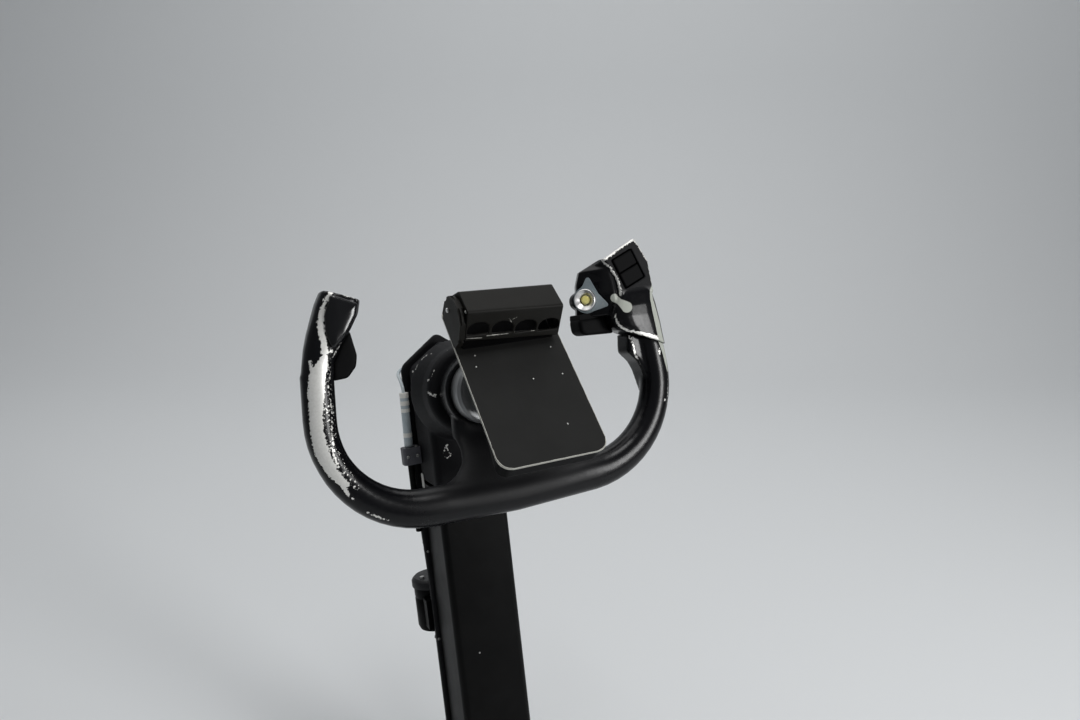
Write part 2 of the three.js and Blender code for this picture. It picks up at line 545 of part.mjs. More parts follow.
// The disconnect button stands on the lobe's slanted face: flange plate, collar and button
const lobeRun = new THREE.Vector2(LOBE.far[0] - LOBE.near[0], LOBE.far[1] - LOBE.near[1]);
const BUTTON = { along: 0.6, z: 82.7, flange: 2.5, collar: 12.2, collarHigh: 10, button: 5.7 };
const buttonTurn = THREE.MathUtils.radToDeg(Math.atan2(lobeRun.y, -lobeRun.x));
const onLobe = (body) => body.rotate([0, 0, -buttonTurn])
  .translate([LOBE.near[0] + BUTTON.along * lobeRun.x, LOBE.near[1] + BUTTON.along * lobeRun.y, BUTTON.z]);
const FLANGE_CORNERS = [
  // angle, reach, corner radius
  [82, 27, 2.2], [104, 15.6, 3], [140, 16.3, 9], [180, 16.3, 9], [220, 16.3, 9],
  [262, 15.8, 9], [298, 14.7, 3], [338.6, 26, 2.2], [22, 14, 6],
];
const flangeRows = FLANGE_CORNERS.map(([angle, reach, radius]) => {
  const turn = THREE.MathUtils.degToRad(angle);
  return [reach * Math.cos(turn), reach * Math.sin(turn), radius];
});
add('button_flange', onLobe(facing(flangeRows, -BUTTON.flange, -GAP, 0.5)), WHEEL, COLOUR.blue, 0.3, 0.5);
const collarFoot = -BUTTON.flange - GAP;
const collar = turned([[0, collarFoot], [BUTTON.collar - 2, collarFoot],
  [BUTTON.collar - 1, collarFoot - 4], [BUTTON.collar, collarFoot - 8],
  [BUTTON.collar - 0.6, collarFoot - BUTTON.collarHigh],
  [BUTTON.collar - 1.6, collarFoot - BUTTON.collarHigh], [BUTTON.button + 1, collarFoot - 4],
  [BUTTON.button + 0.6, collarFoot - 3], [0, collarFoot - 3]], 'y', [0, 0, 0], 40);
add('button_collar', onLobe(collar), WHEEL, COLOUR.steel, 0.9, 0.2);
const button = rod(BUTTON.button, collarFoot - 8, collarFoot - 3 - GAP, 'y', [0, 0, 0], 28, 1);
add('disconnect_button', onLobe(button), WHEEL, COLOUR.amber, 0.1, 0.4);

// The chart board in its own frame: X across, -Y off its face, Z up its face
const CHART = { halfWide: 56.5, bottom: -74.5, top: 112, thick: 2.5, corner: 13, tray: 22, mid: 9 };
const boardRows = (inset) => [[-CHART.halfWide + inset, CHART.bottom + inset, CHART.corner - inset],
  [CHART.halfWide - inset, CHART.bottom + inset, CHART.corner - inset],
  [CHART.halfWide - inset, CHART.top - inset, 6], [-CHART.halfWide + inset, CHART.top - inset, 6]];
add('chart_board', facing(boardRows(0), 0, CHART.thick, 0.6, 10), BOARD, COLOUR.olive, 0.1, 0.7);
const trayTop = [[CHART.thick - 5, 200, 0], [CHART.thick - 5, -200, 0], [CHART.tray, -200, 0],
  [CHART.tray, -70, 0], [CHART.mid, -24, 12], [CHART.mid, 200, 0]];
const tray = facing(boardRows(2.5), CHART.thick + GAP, CHART.tray, 1, 10)
  .intersect(across(trayTop, -100, 100));
add('board_tray', tray, BOARD, COLOUR.rubber, 0.1, 0.7);

// Closed sheet-metal bracket from the hub cap to the tray, with its plate on the tray's back
const BRACKET = { halfWide: 15, halfHigh: 22, plate: 4, up: 30 };
const toWheel = Array.from(between(BOARD, WHEEL).elements);
const ahead = block([-100, -200, -200], [100, CHART.mid + GAP, 200]).transform(toWheel);
const stem = facing(rectangle(BRACKET.halfWide, BRACKET.halfHigh, 4), -130, HUB.capFront - GAP);
const plateRows = rectangle(BRACKET.halfWide + 17, BRACKET.halfHigh + 8, 4)
  .map(([x, z, radius]) => [x, z + BRACKET.up, radius]);
const bracketPlate = facing(plateRows, CHART.mid + GAP, CHART.mid + GAP + BRACKET.plate).transform(toWheel);
add('board_bracket', stem.subtract(ahead).add(bracketPlate), WHEEL, COLOUR.satin, 0.3, 0.5);

// Chart clip: a hollow hood with four arched windows in its front wall, hinged on a pin. Its
// corners are places off the board and up it, at the left end and at the lower right end.
const CLIP = { halfWide: 50.5, wall: 2.5, pinY: -20, pinZ: 97, back: 13, pin: 2.5 };
const HOOD = {
  left: { foot: [-2, 73], under: [-12, 69], lip: [-17, 59.5], ridge: [-48.4, 70.3], top: [-45.5, 98.5] },
  right: { foot: [-2, 71], under: [-6, 66], lip: [-9, 57], ridge: [-44.2, 67.2], top: [-40.6, 97.8] },
};
const upBoard = (p, x) => new THREE.Vector3(x, p.x, p.y);

// The hood's outline at one end. A cavity's outline is drawn in by the wall and open at the foot.
function hoodRows({ foot, under, lip, ridge, top }, wall) {
  const open = wall ? 6 : 0;
  return [[foot[0] + open, foot[1] + wall, 1], [under[0], under[1] + wall, 2],
    [lip[0] - wall * 0.3, lip[1] + wall, 1], [ridge[0] + wall, ridge[1] + wall, 3],
    [top[0] + wall, top[1] - wall, 4],
    [CLIP.pinY - 5, CLIP.pinZ + CLIP.back - wall, 8],
    [CLIP.pinY + CLIP.back - wall, CLIP.pinZ + CLIP.back - wall, CLIP.back - wall - 0.5],
    [CLIP.pinY + CLIP.back + open, CLIP.pinZ - 2, 1]];
}
const hoodBody = (half, wall) => skinned(
  [[-half, hoodRows(HOOD.left, wall)], [half, hoodRows(HOOD.right, wall)]], upBoard);

// One arched window, a cutter that runs along the board through the front wall only
const ARCH = { pitch: 25.2, half: 11.2, low: 19.3, fall: 0.0713, rise: 13.5, spring: 7 };
function archCutter(x) {
  const low = ARCH.low - ARCH.fall * x;
  const high = low + ARCH.rise;
  const arch = new THREE.Shape();
  arch.moveTo(x - ARCH.half, low);
  arch.lineTo(x + ARCH.half, low);
  arch.lineTo(x + ARCH.half, high - ARCH.spring);
  arch.quadraticCurveTo(x + ARCH.half * 0.85, high, x, high);
  arch.quadraticCurveTo(x - ARCH.half * 0.85, high, x - ARCH.half, high - ARCH.spring);
  const cutter = new THREE.ExtrudeGeometry(arch, { depth: 30, bevelEnabled: false, curveSegments: 6 });
  const turn = new THREE.Matrix4().makeBasis(
    new THREE.Vector3(1, 0, 0), new THREE.Vector3(0, -1, 0), new THREE.Vector3(0, 0, -1));
  return solid(cutter.applyMatrix4(turn).translate(0, 0, 82));
}
let hood = hoodBody(CLIP.halfWide, 0).subtract(hoodBody(CLIP.halfWide - CLIP.wall, CLIP.wall));
for (const place of [-1.5, -0.5, 0.5, 1.5]) {
  hood = hood.subtract(archCutter(place * ARCH.pitch));
}
const pinHole = rod(CLIP.pin + GAP, -80, 80, 'x', [0, CLIP.pinY, CLIP.pinZ], 24, 0.1);
add('clip_hood', hood.subtract(pinHole), BOARD, COLOUR.olive, 0.1, 0.7);

// A deep end cap on the board at the left, a low lug at the right, and the pin through both
const CAP = [[-GAP, 64, 2], [-17, 59, 3], [-44, 69.5, 7], [-41, 99, 9], [-25, 109, 9], [-GAP, 106, 6]];
const LUG = [[-GAP, 84, 1], [-27, 92, 5], [-27, 103, 6], [-GAP, 107, 5]];
const endCap = across(CAP, -57, -CLIP.halfWide - 0.6, 2).subtract(pinHole);
add('clip_end_cap', endCap, BOARD, COLOUR.olive, 0.1, 0.6);
const lug = across(LUG, CLIP.halfWide + 0.6, 56.5, 1).subtract(pinHole);
add('clip_lug', lug, BOARD, COLOUR.olive, 0.1, 0.6);
const pin = rod(CLIP.pin, -58.5, 58, 'x', [0, CLIP.pinY, CLIP.pinZ], 24, 0.6);
add('clip_pin', pin, BOARD, COLOUR.steel, 0.8, 0.3);

export default group;
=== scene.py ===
# Airliner control column with its control wheel and chart board, dressed round the CAD frame.
import json
import math

import bmesh
import bpy
import numpy as np
from mathutils import Matrix, Vector


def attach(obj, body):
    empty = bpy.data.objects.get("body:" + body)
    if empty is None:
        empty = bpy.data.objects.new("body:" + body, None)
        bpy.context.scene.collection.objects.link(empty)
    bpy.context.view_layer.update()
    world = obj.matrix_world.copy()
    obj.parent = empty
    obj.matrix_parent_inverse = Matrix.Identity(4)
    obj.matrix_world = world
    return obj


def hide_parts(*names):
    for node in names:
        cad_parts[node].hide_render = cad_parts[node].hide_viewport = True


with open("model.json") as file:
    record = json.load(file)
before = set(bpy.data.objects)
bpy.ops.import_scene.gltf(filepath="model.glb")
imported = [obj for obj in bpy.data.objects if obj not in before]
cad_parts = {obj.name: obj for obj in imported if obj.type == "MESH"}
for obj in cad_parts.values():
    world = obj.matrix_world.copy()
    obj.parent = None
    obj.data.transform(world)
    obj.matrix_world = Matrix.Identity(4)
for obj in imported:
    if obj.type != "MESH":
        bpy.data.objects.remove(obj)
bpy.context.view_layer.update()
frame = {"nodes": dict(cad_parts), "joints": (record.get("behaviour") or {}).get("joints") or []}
scene = bpy.context.scene
MM = 0.001

# The photograph's view: a lens of 28.5 mm on a 36 mm wide picture, held a little over the wheel
# and to its left, level to within a tenth of a degree.
LENS = 28.497
EYE = Vector((-319.28, -789.36, 992.09)) * MM
YAW, PITCH, ROLL = 25.4, 19.69, 0.11
camera = bpy.data.objects.new("camera", bpy.data.cameras.new("camera"))
camera.data.lens = LENS
camera.data.sensor_width = 36.0
camera.data.clip_start = 0.02
camera.matrix_world = (Matrix.Translation(EYE)
                       @ Matrix.Rotation(math.radians(-YAW), 4, "Z")
                       @ Matrix.Rotation(math.radians(90 - PITCH), 4, "X")
                       @ Matrix.Rotation(math.radians(ROLL), 4, "Z"))
scene.collection.objects.link(camera)
scene.camera = camera
# Plain display of the light, so that black enamel stays as black as in the photograph
scene.view_settings.view_transform = "Standard"

# The studio: a seamless sweep of pale board, floor and wall in one, with a curve where they meet.
# Its matt emulsion has no gloss, so that only soft shadows show on it.
FLOOR_REACH, WALL_AT, WALL_HIGH, SWEEP = 5.0, 2.6, 4.5, 0.9


# Every colour is written as an sRGB hex value, and this turns it to the linear light of shaders.
def linear(hex_colour):
    parts = [int(hex_colour[i:i + 2], 16) / 255 for i in (1, 3, 5)]
    return tuple(p / 12.92 if p <= 0.04045 else ((p + 0.055) / 1.055) ** 2.4 for p in parts) + (1.0,)


# Gives a node's inputs their values: each takes a plain value or the output of another node.
def feed(tree, node, inputs):
    for name, value in inputs.items():
        if isinstance(value, bpy.types.NodeSocket):
            tree.links.new(value, node.inputs[name])
        else:
            node.inputs[name].default_value = value


# Starts a material with its shader's plain values, and gives its node tree and that shader too.
def new_material(name, **surface):
    material = bpy.data.materials.new(name)
    material.use_nodes = True
    tree = material.node_tree
    shader = tree.nodes["Principled BSDF"]
    feed(tree, shader, {socket.replace("_", " "): value for socket, value in surface.items()})
    return material, tree, shader


profile = [(-FLOOR_REACH, 0.0), (WALL_AT - SWEEP, 0.0)]
profile += [(WALL_AT - SWEEP + SWEEP * math.sin(a), SWEEP - SWEEP * math.cos(a))
            for a in np.radians(np.arange(6, 91, 6))]
profile += [(WALL_AT, WALL_HIGH)]
sweep = bpy.data.meshes.new("studio_sweep")
sweep.from_pydata([(x, y, z) for y, z in profile for x in (-FLOOR_REACH, FLOOR_REACH)], [],
                  [(2 * i, 2 * i + 1, 2 * i + 3, 2 * i + 2) for i in range(len(profile) - 1)])
sweep.shade_smooth()
backdrop = bpy.data.objects.new("studio_sweep", sweep)
backdrop_paint, _, _ = new_material("matt_backdrop_paint", Base_Color=linear("#e2e4e5"), Roughness=0.9)
sweep.materials.append(backdrop_paint)
backdrop.rotation_euler = (0, 0, math.radians(-YAW))
scene.collection.objects.link(backdrop)

# Soft light as through tall windows: a wide panel ahead and above, a bright upright strip behind
# and to the right, which draws the long gleam down the right horn, and a small one overhead.
LIGHTS = [
    # name, place, aimed at, width, height, watts
    ("light_ahead", (0.0, 1.2, 2.7), (0, 0, 0.6), 4.0, 2.4, 36),
    ("light_right", (1.24, -1.87, 1.1), (0.1, 0, 0.66), 0.55, 0.8, 25),
    ("light_above", (0.3, -0.62, 2.6), (0.1, 0, 0.6), 0.9, 0.7, 13),
]
for name, place, aim, wide, high, watts in LIGHTS:
    lamp = bpy.data.lights.new(name, "AREA")
    lamp.shape = "RECTANGLE"
    lamp.size = wide
    lamp.size_y = high
    lamp.energy = watts
    light = bpy.data.objects.new(name, lamp)
    light.location = place
    light.rotation_euler = (Vector(aim) - Vector(place)).to_track_quat("-Z", "Y").to_euler()
    scene.collection.objects.link(light)
world = bpy.data.worlds.new("pale_room")
world.use_nodes = True
feed(world.node_tree, world.node_tree.nodes["Background"], {"Color": linear("#dfe3e8"), "Strength": 0.22})
scene.world = world


# The wheel: one sand-cast aluminium grip and spoke, finished in hard-wearing black stoving enamel.
# Years of hands have worn the left grip down to bright bare metal, with a ragged border of chips,
# and knocks have nibbled the enamel off its edges. It is bolted to its shaft behind the hub.
joints = {j["name"]: j for j in frame["joints"]}


# The turn and place of a part that leans forward by some degrees, as a matrix into the frame.
def leaning(degrees, at):
    return Matrix.Translation(at) @ Matrix.Rotation(-math.radians(degrees), 4, "X")


roll_axis = Vector(joints["wheel_roll"]["axis"])
WHEEL_TILT = math.degrees(math.atan2(-roll_axis.z, roll_axis.y))
WHEEL = leaning(WHEEL_TILT, Vector(joints["wheel_roll"]["pos_m"]))


# The shape of a CAD node as a mesh of joined faces, for a piece that takes its place.
def joined_copy(node):
    mesh = frame["nodes"][node].data.copy()
    work = bmesh.new()
    work.from_mesh(mesh)
    bmesh.ops.remove_doubles(work, verts=work.verts, dist=0.01 * MM)
    bmesh.ops.dissolve_limit(work, angle_limit=math.radians(0.5), verts=work.verts, edges=work.edges)
    work.to_mesh(mesh)
    work.free()
    mesh.materials.clear()
    return mesh


# Adds a finished mesh to the scene as a piece that rides on a body, in one material, and hides the
# CAD nodes that it stands for. A mesh that comes with its material keeps it.
def add_piece(name, mesh, body, material, stands_for=()):
    mesh.name = name
    if material:
        mesh.materials.clear()
        mesh.materials.append(material)
    piece = bpy.data.objects.new(name, mesh)
    scene.collection.objects.link(piece)
    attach(piece, body)
    if stands_for:
        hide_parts(*stands_for)


# The plain mesh that an object's modifiers make. The object itself goes.
def made_plain(carrier):
    bpy.context.view_layer.update()
    mesh = bpy.data.meshes.new_from_object(carrier.evaluated_get(bpy.context.evaluated_depsgraph_get()))
    bpy.data.objects.remove(carrier)
    return mesh


# A casting's skin: the CAD shape remade in small even faces and eased, so that its parts flow
# into each other with fillets of about two faces.
def cast_skin(node, face, rounds):
    carrier = bpy.data.objects.new("carrier", joined_copy(node))
    scene.collection.objects.link(carrier)
    remesh = carrier.modifiers.new("even_faces", "REMESH")
    remesh.mode, remesh.voxel_size = "VOXEL", face * MM
    easing = carrier.modifiers.new("easing", "SMOOTH")
    easing.factor, easing.iterations = 0.5, rounds
    skin = made_plain(carrier)
    skin.shade_smooth()
    return skin


# One of a mesh's own vectors, "co" or "normal", for each of its points.
def vectors(mesh, name):
    values = np.empty(len(mesh.vertices) * 3)
    mesh.vertices.foreach_get(name, values)
    return values.reshape(-1, 3)


# The points of a mesh in a part's own millimetres: across, forward and up.
def local_points(mesh, place):
    return (vectors(mesh, "co") - np.array(place.translation)) @ np.array(place.to_3x3()) / MM


# How far inside its strokes each point lies, in millimetres. A stroke is a row of places across,
# forward and up, each with a half width, and marks what lies near the line through them.
FAR_OUTSIDE = -50.0


def inside_strokes(points, strokes):
    best = np.full(len(points), FAR_OUTSIDE)
    for stroke in strokes:
        if len(stroke) == 1:
            stroke = stroke * 2
        for one, two in zip(stroke, stroke[1:]):
            start, run = np.array(one[:3]), np.array(two[:3]) - np.array(one[:3])
            length = max(float(run @ run), 1e-9)
            along = np.clip((points - start) @ run / length, 0, 1)
            away = np.linalg.norm(points - start - along[:, None] * run, axis=1)
            best = np.maximum(best, one[3] + (two[3] - one[3]) * along - away)
    return best


# The pairs of joined points on a mesh.
def joined_pairs(mesh):
    pairs = np.empty(len(mesh.edges) * 2, dtype=np.int64)
    mesh.edges.foreach_get("vertices", pairs)
    return pairs.reshape(-1, 2)


# The mean of a value, or of a vector, over each point's neighbours.
def neighbour_means(values, pairs):
    count = len(values)
    links = np.bincount(pairs.ravel(), minlength=count).clip(1)
    if values.ndim > 1:
        return np.stack([neighbour_means(column, pairs) for column in values.T], axis=1)
    total = np.bincount(pairs[:, 0], weights=values[pairs[:, 1]], minlength=count)
    total += np.bincount(pairs[:, 1], weights=values[pairs[:, 0]], minlength=count)
    return total / links


# Eases a mesh by rounds of averaging, as much at each point as its share from 0 to 1 says.
EASING_STEP = 0.6


def eased_where(mesh, share, rounds):
    points, pairs = vectors(mesh, "co"), joined_pairs(mesh)
    for _ in range(rounds):
        points += EASING_STEP * share[:, None] * (neighbour_means(points, pairs) - points)
    mesh.vertices.foreach_set("co", points.ravel())
    mesh.update()


# How sharply the surface turns outwards at each point, from 0 on the flat to about 1 on an edge.
SHARPNESS_ROUNDS, SHARPNESS_GAIN = 2, 4


def edge_sharpness(mesh):
    points, normals, pairs = vectors(mesh, "co"), vectors(mesh, "normal"), joined_pairs(mesh)
    step = np.linalg.norm(points[pairs[:, 0]] - points[pairs[:, 1]], axis=1).mean()
    sharp = np.einsum("ij,ij->i", points - neighbour_means(points, pairs), normals) / step
    for _ in range(SHARPNESS_ROUNDS):
        sharp = 0.5 * sharp + 0.5 * neighbour_means(sharp, pairs)
    return np.clip(sharp * SHARPNESS_GAIN, 0, 1)


# Writes one number for each point of a mesh, which a material reads by its name.
def mark(mesh, name, values):
    attribute = mesh.attributes.new(name, "FLOAT", "POINT")
    attribute.data.foreach_set("value", np.asarray(values, dtype=np.float32))


# Writes a casting's wear: what the bare strokes lay open, the loosely chipped bands beside them,
# how far its edges are knocked, and where its primer shows. A few bare strokes are painted highlights,
# drawn as bare metal. Gives the points back. A chipped band counts as lying this many millimetres
# outside a stroke, where the enamel goes in specks alone.
CHIPPED_DEPTH = -0.65


def wear(skin, place, bare, knocked, primer=(), chipped=()):
    points = local_points(skin, place)
    specks = np.minimum(inside_strokes(points, chipped), CHIPPED_DEPTH)
    mark(skin, "worn", np.maximum(inside_strokes(points, bare), specks))
    mark(skin, "edge", edge_sharpness(skin) * knocked)
    mark(skin, "primer", inside_strokes(points, primer))
    return points


# A rise from 0 to 1 as a place goes from one number of millimetres to another.
def ramp(places, none, full):
    return np.clip((places - none) / (full - none), 0, 1)


# Adds one shader or geometry node with its settings and feeds its inputs. Gives the output that
# is named, or else the first one in use.
def add_node(tree, kind, inputs=None, output=None, **settings):
    node = tree.nodes.new(kind)
    for name, value in settings.items():
        setattr(node, name, value)
    feed(tree, node, inputs or {})
    return node.outputs[output] if output else next((o for o in node.outputs if o.enabled), None)


# Stoving enamel over cast aluminium: a gloss black coat with a faint orange peel, which wears
# through to bright metal with a hard ragged edge, and to flat grey-green primer in patches. The
# noises have cells of 2.4 mm for the chips and of 11 mm for the blotches. The peel's are 1.1 mm,
# coarser than the real 0.4 mm, because finer ones wouldn't show.
CHIP_CELLS, BLOTCH_CELLS, PEEL_CELLS = 420.0, 90.0, 900.0
RAGGED_BY, BARE_FROM, BARE_TO = 7.0, 3.45, 3.75
KNOCKED_FROM, KNOCKED_TO = 0.4, 0.46
BARE_METALLIC, BARE_ROUGHNESS, MATT_ROUGHNESS = 0.45, 0.42, 0.4
GREY_PRIMER, PRIMER_BORDER = "#b3b6ad", 0.3


def worn_enamel(name, coat="#060608", roughness=0.22, peel=0.22, level=0.26):
    material, tree, shader = new_material(name, IOR=1.5, Specular_IOR_Level=level)
    place = add_node(tree, "ShaderNodeTexCoord", output="Object")
    worn, edge, bare, matt = (add_node(tree, "ShaderNodeAttribute", output="Fac", attribute_name=told)
                              for told in ("worn", "edge", "primer", "matt"))
    ragged = add_node(tree, "ShaderNodeTexNoise",
                      {"Vector": place, "Scale": CHIP_CELLS, "Detail": 5.0, "Roughness": 0.62})
    blotch = add_node(tree, "ShaderNodeTexNoise",
                      {"Vector": place, "Scale": BLOTCH_CELLS, "Detail": 3.0, "Roughness": 0.55})
    shaken = add_node(tree, "ShaderNodeMath", {0: ragged, 1: RAGGED_BY, 2: worn}, operation="MULTIPLY_ADD")
    open_metal = add_node(tree, "ShaderNodeMapRange",
                          {"Value": shaken, "From Min": BARE_FROM, "From Max": BARE_TO})
    knocked = add_node(tree, "ShaderNodeMath", {0: blotch, 1: edge}, operation="MULTIPLY")
    on_edge = add_node(tree, "ShaderNodeMapRange",
                       {"Value": knocked, "From Min": KNOCKED_FROM, "From Max": KNOCKED_TO})
    mask = add_node(tree, "ShaderNodeMath", {0: open_metal, 1: on_edge}, operation="MAXIMUM")
    coat_tone = add_node(tree, "ShaderNodeMix", {"Factor": blotch, "A": linear(coat), "B": linear("#0b0b0e")},
                         data_type="RGBA")
    metal_tone = add_node(tree, "ShaderNodeMix",
                          {"Factor": ragged, "A": linear("#fbfaf6"), "B": linear("#d9d8d2")},
                          data_type="RGBA")
    colour = add_node(tree, "ShaderNodeMix", {"Factor": mask, "A": coat_tone, "B": metal_tone},
                      data_type="RGBA")
    primed = add_node(tree, "ShaderNodeMapRange",
                      {"Value": bare, "From Min": -PRIMER_BORDER, "From Max": PRIMER_BORDER})
    final = add_node(tree, "ShaderNodeMix", {"Factor": primed, "A": colour, "B": linear(GREY_PRIMER)},
                     data_type="RGBA")
    unprimed = add_node(tree, "ShaderNodeMath", {0: 1.0, 1: primed}, operation="SUBTRACT")
    metallic = add_node(tree, "ShaderNodeMath", {0: mask, 1: unprimed}, operation="MULTIPLY")
    metallic = add_node(tree, "ShaderNodeMath", {0: metallic, 1: BARE_METALLIC}, operation="MULTIPLY")
    gloss = add_node(tree, "ShaderNodeMapRange",
                     {"Value": ragged, "To Min": roughness - 0.06, "To Max": roughness + 0.1})
    duller = add_node(tree, "ShaderNodeMath", {0: matt, 1: MATT_ROUGHNESS, 2: gloss},
                      operation="MULTIPLY_ADD")
    rough = add_node(tree, "ShaderNodeMix", {"Factor": mask, "A": duller, "B": BARE_ROUGHNESS})
    fine = add_node(tree, "ShaderNodeTexNoise", {"Vector": place, "Scale": PEEL_CELLS, "Detail": 2.0})
    height = add_node(tree, "ShaderNodeMath", {0: fine, 1: peel}, operation="MULTIPLY")
    height = add_node(tree, "ShaderNodeMath", {0: height, 1: mask}, operation="SUBTRACT")
    bump = add_node(tree, "ShaderNodeBump", {"Height": height, "Strength": 0.5, "Distance": 0.12 * MM})
    feed(tree, shader, {"Base Color": final, "Metallic": metallic, "Roughness": rough, "Normal": bump})
    return material


# Wear on the left grip: the bare patch under the palm, then the specks beside it and its tail
GRIP_WEAR = [
    [(-177, -17, 61, 3.2), (-180, -17, 53, 5.9), (-185, -17, 46.5, 7.6), (-187, -17, 40.6, 8.2),
     (-190, -16.5, 27.6, 8.2), (-191.6, -16, 15.3, 7.2), (-194.2, -16, -3.3, 6.4), (-194.2, -16, -16.8, 6.9),
     (-193, -16, -27.8, 7.2), (-189.5, -16, -38.7, 6.6), (-184.8, -16, -49.1, 5.6), (-179, -17, -57.8, 4.6),
     (-175, -17, -62.3, 3)],
    [(-190.5, -14, 58, 1.6), (-190.5, -15, 51, 1.8)],
    [(-173, -13.6, 45, 0.2), (-177.8, -15.6, 31, 0.6), (-177, -15, 20, 0.6), (-177, -14, 10, 0.5),
     (-179, -15, 0, 0.5), (-180.5, -16, -12, 0.8), (-181.8, -17, -32, 1.2), (-179.5, -17, -45, 0.6)],
    [(-179.4, -16, -62.5, 1.2), (-176, -16, -67, 2.2), (-173.3, -15, -73.6, 1.2)], [(-170, -15, -77, 1.5)],
    [(-158, -14, -94, 1), (-148, -14, -101, 1.4), (-136, -14, -108, 0.6)],
]
# The band of loose specks along the patch's inboard side, where the enamel is only chipped
GRIP_SPECKS = [
    [(-175, -14, 56, 4), (-179.5, -16, 42, 6), (-181, -16, 20, 7), (-182, -16, 0, 7.5),
     (-183.5, -16, -16, 7.5), (-182, -17, -32, 6.5), (-177, -17, -46, 5), (-170, -17, -58, 4),
     (-164, -16, -68, 2)],
]
# The left head's silver band down beside its cover, its thin top edge, and the edge under the cover
LEFT_HEAD_WEAR = [
    [(-160, -17, 121, 1.6), (-164, -18, 119.5, 2.2), (-168.5, -18, 114.5, 2.7), (-172.8, -18, 107, 3.2),
     (-176.3, -18, 95.3, 3.7), (-176.6, -18, 84, 3.4), (-175.8, -18, 74.6, 2.8), (-176.3, -18, 65, 3.2)],
    [(-160, -17, 121.5, 1.2), (-150, -17, 117.3, 0.9), (-139, -16, 111, 1), (-135.5, -15, 106, 0.7)],
    [(-149, -8, 78.5, 0.2), (-155, -12, 73.5, 0.5), (-161, -13, 68.5, 1), (-164.5, -14, 64.5, 0.9),
     (-168, -14, 59.5, 0.5)],
    [(-169.8, -17, 64.8, 1.9)],
]
# The right grip's outer side, where the enamel has gone down to its grey-green primer, then the bare
# knocks below it and the light line down the edge of the finger guard, which is bare metal and also a
# painted highlight along that edge
OUTER_PRIMER = [[(190.5, -14, 92, 1.8), (186.9, -18.3, 72.8, 2.8), (188, -18.9, 61.4, 3.8),
                 (189.2, -18.8, 52.3, 4.2), (191.2, -17.8, 39.7, 4.4), (192.7, -17, 30, 4.2),
                 (194.8, -15, 20, 4), (196.3, -14, 11, 3.6), (196.8, -14, 2, 2.8), (197.3, -14, -8.6, 1)]]
RIGHT_WEAR_AND_HIGHLIGHT = [
    [(189, -16.7, 17.5, 1.2), (188.8, -16.8, 12, 1.2)], [(187.6, -16.4, -40, 1.4)],
    [(191.3, -13.6, -45, 0.5), (193, -15, -33, 0.4), (195.5, -15, -18, 0.2), (197, -14, -7, 0.6)],
    # The light line down the finger guard's edge: bare metal and partly a painted highlight
    [(157, -8, 36, 0.8), (159.8, -9, 31, 1), (161.4, -9, 24, 1), (161.6, -9, 17, 1), (164, -8.5, 10.5, 0.9),
     (167.5, -7, 2, 0.6)],
]
wheel_skin = cast_skin("wheel_casting", 1.5, 8)
across, forward, up = local_points(wheel_skin, WHEEL).T
# The spoke's edges are well rounded where they run from the bar up into the hub's drum
on_spoke = ramp(np.abs(across), 78, 62) * ramp(up, -112, -96)
on_spoke *= ramp(up, -30, -40) * ramp(forward, 64, 56)
eased_where(wheel_skin, on_spoke, 60)
across, _, up = wear(wheel_skin, WHEEL, GRIP_WEAR + LEFT_HEAD_WEAR + RIGHT_WEAR_AND_HIGHLIGHT, 1.0, OUTER_PRIMER,
                     GRIP_SPECKS).T
# Knees and cloths have dulled the spoke, which spreads its reflections into a grey sheen
dulled = ramp(np.abs(across), 120, 40) * ramp(up, -130, -90)
mark(wheel_skin, "matt", 0.9 * dulled * ramp(up, -20, -50))
wheel_enamel = worn_enamel("black_stoving_enamel_on_cast_aluminium")
add_piece("wheel_skin", wheel_skin, "wheel", wheel_enamel, ["wheel_casting"])


# The switch head: a second, finer casting bolted on the right grip, in the same enamel, its face and
# its lower lip edged with bare metal, and a patch of primer showing where a thumb rests. A painted
# highlight, drawn as bare metal, runs down the lip's rounded front-left corner. Its coat has less peel
# and more gloss than the wheel's, so that lights show sharper in it.
FACE_WEAR_AND_HIGHLIGHT = [
    [(134, -15, 123, 2), (145.5, -16, 129, 1.9), (157, -16, 135, 1.7), (174, -16.5, 142, 2)],
    [(175, -16, 142, 2), (180.5, -16, 134, 2), (185, -16, 125, 1.8), (189, -15.5, 117, 1.8),
     (190.5, -15, 100, 1.7), (191, -15, 88, 1.6)],
    [(134, -12.5, 122.2, 1.6), (137.7, -15.5, 117.1, 1.5), (141, -16.7, 113, 1.3), (144.4, -16.6, 107.2, 1.3),
     (147.3, -16.3, 101, 1.5), (148.6, -16.6, 94, 1.6), (149.1, -15.9, 87.6, 1.7), (149.5, -15.6, 83.9, 1.8)],
    # The lower lip: first a painted highlight down its rounded front-left corner, then its bare edge
    [(140.5, -14, 62, 0.8), (141.6, -14, 54, 1.4), (145.6, -15, 47.5, 1.6), (152, -16, 43.3, 1.4),
     (159, -19, 40.6, 1.5), (168, -19.5, 37.5, 2), (176, -19, 34.5, 2.5), (184, -17.5, 31, 2.8),
     (191, -15, 28, 3)],
]
HEAD_PRIMER = [[(143.4, -12.5, 80.4, 4.7), (147, -15, 76, 3.2), (152.8, -20, 69, 6.3)]]
head_skin = cast_skin("switch_head", 0.9, 3)
across, _, up = wear(head_skin, WHEEL, FACE_WEAR_AND_HIGHLIGHT, 0.3, HEAD_PRIMER + OUTER_PRIMER).T
# The face that carries the rockers has a matt crackle finish
mark(head_skin, "matt", ramp(up, 84, 90) * ramp(across, 130, 138))
head_enamel = worn_enamel("black_enamel_on_switch_head", roughness=0.2, peel=0.08, level=0.24)
add_piece("switch_head_skin", head_skin, "wheel", head_enamel, ["switch_head"])


# The left head's cover: a moulded cap let into the casting's face and polished by palms. Its
# edges are rolled over, so it catches one soft light down its right side. TRIM is the gap, in
# millimetres, that keeps two pieces from sharing a face.
TRIM = 0.3


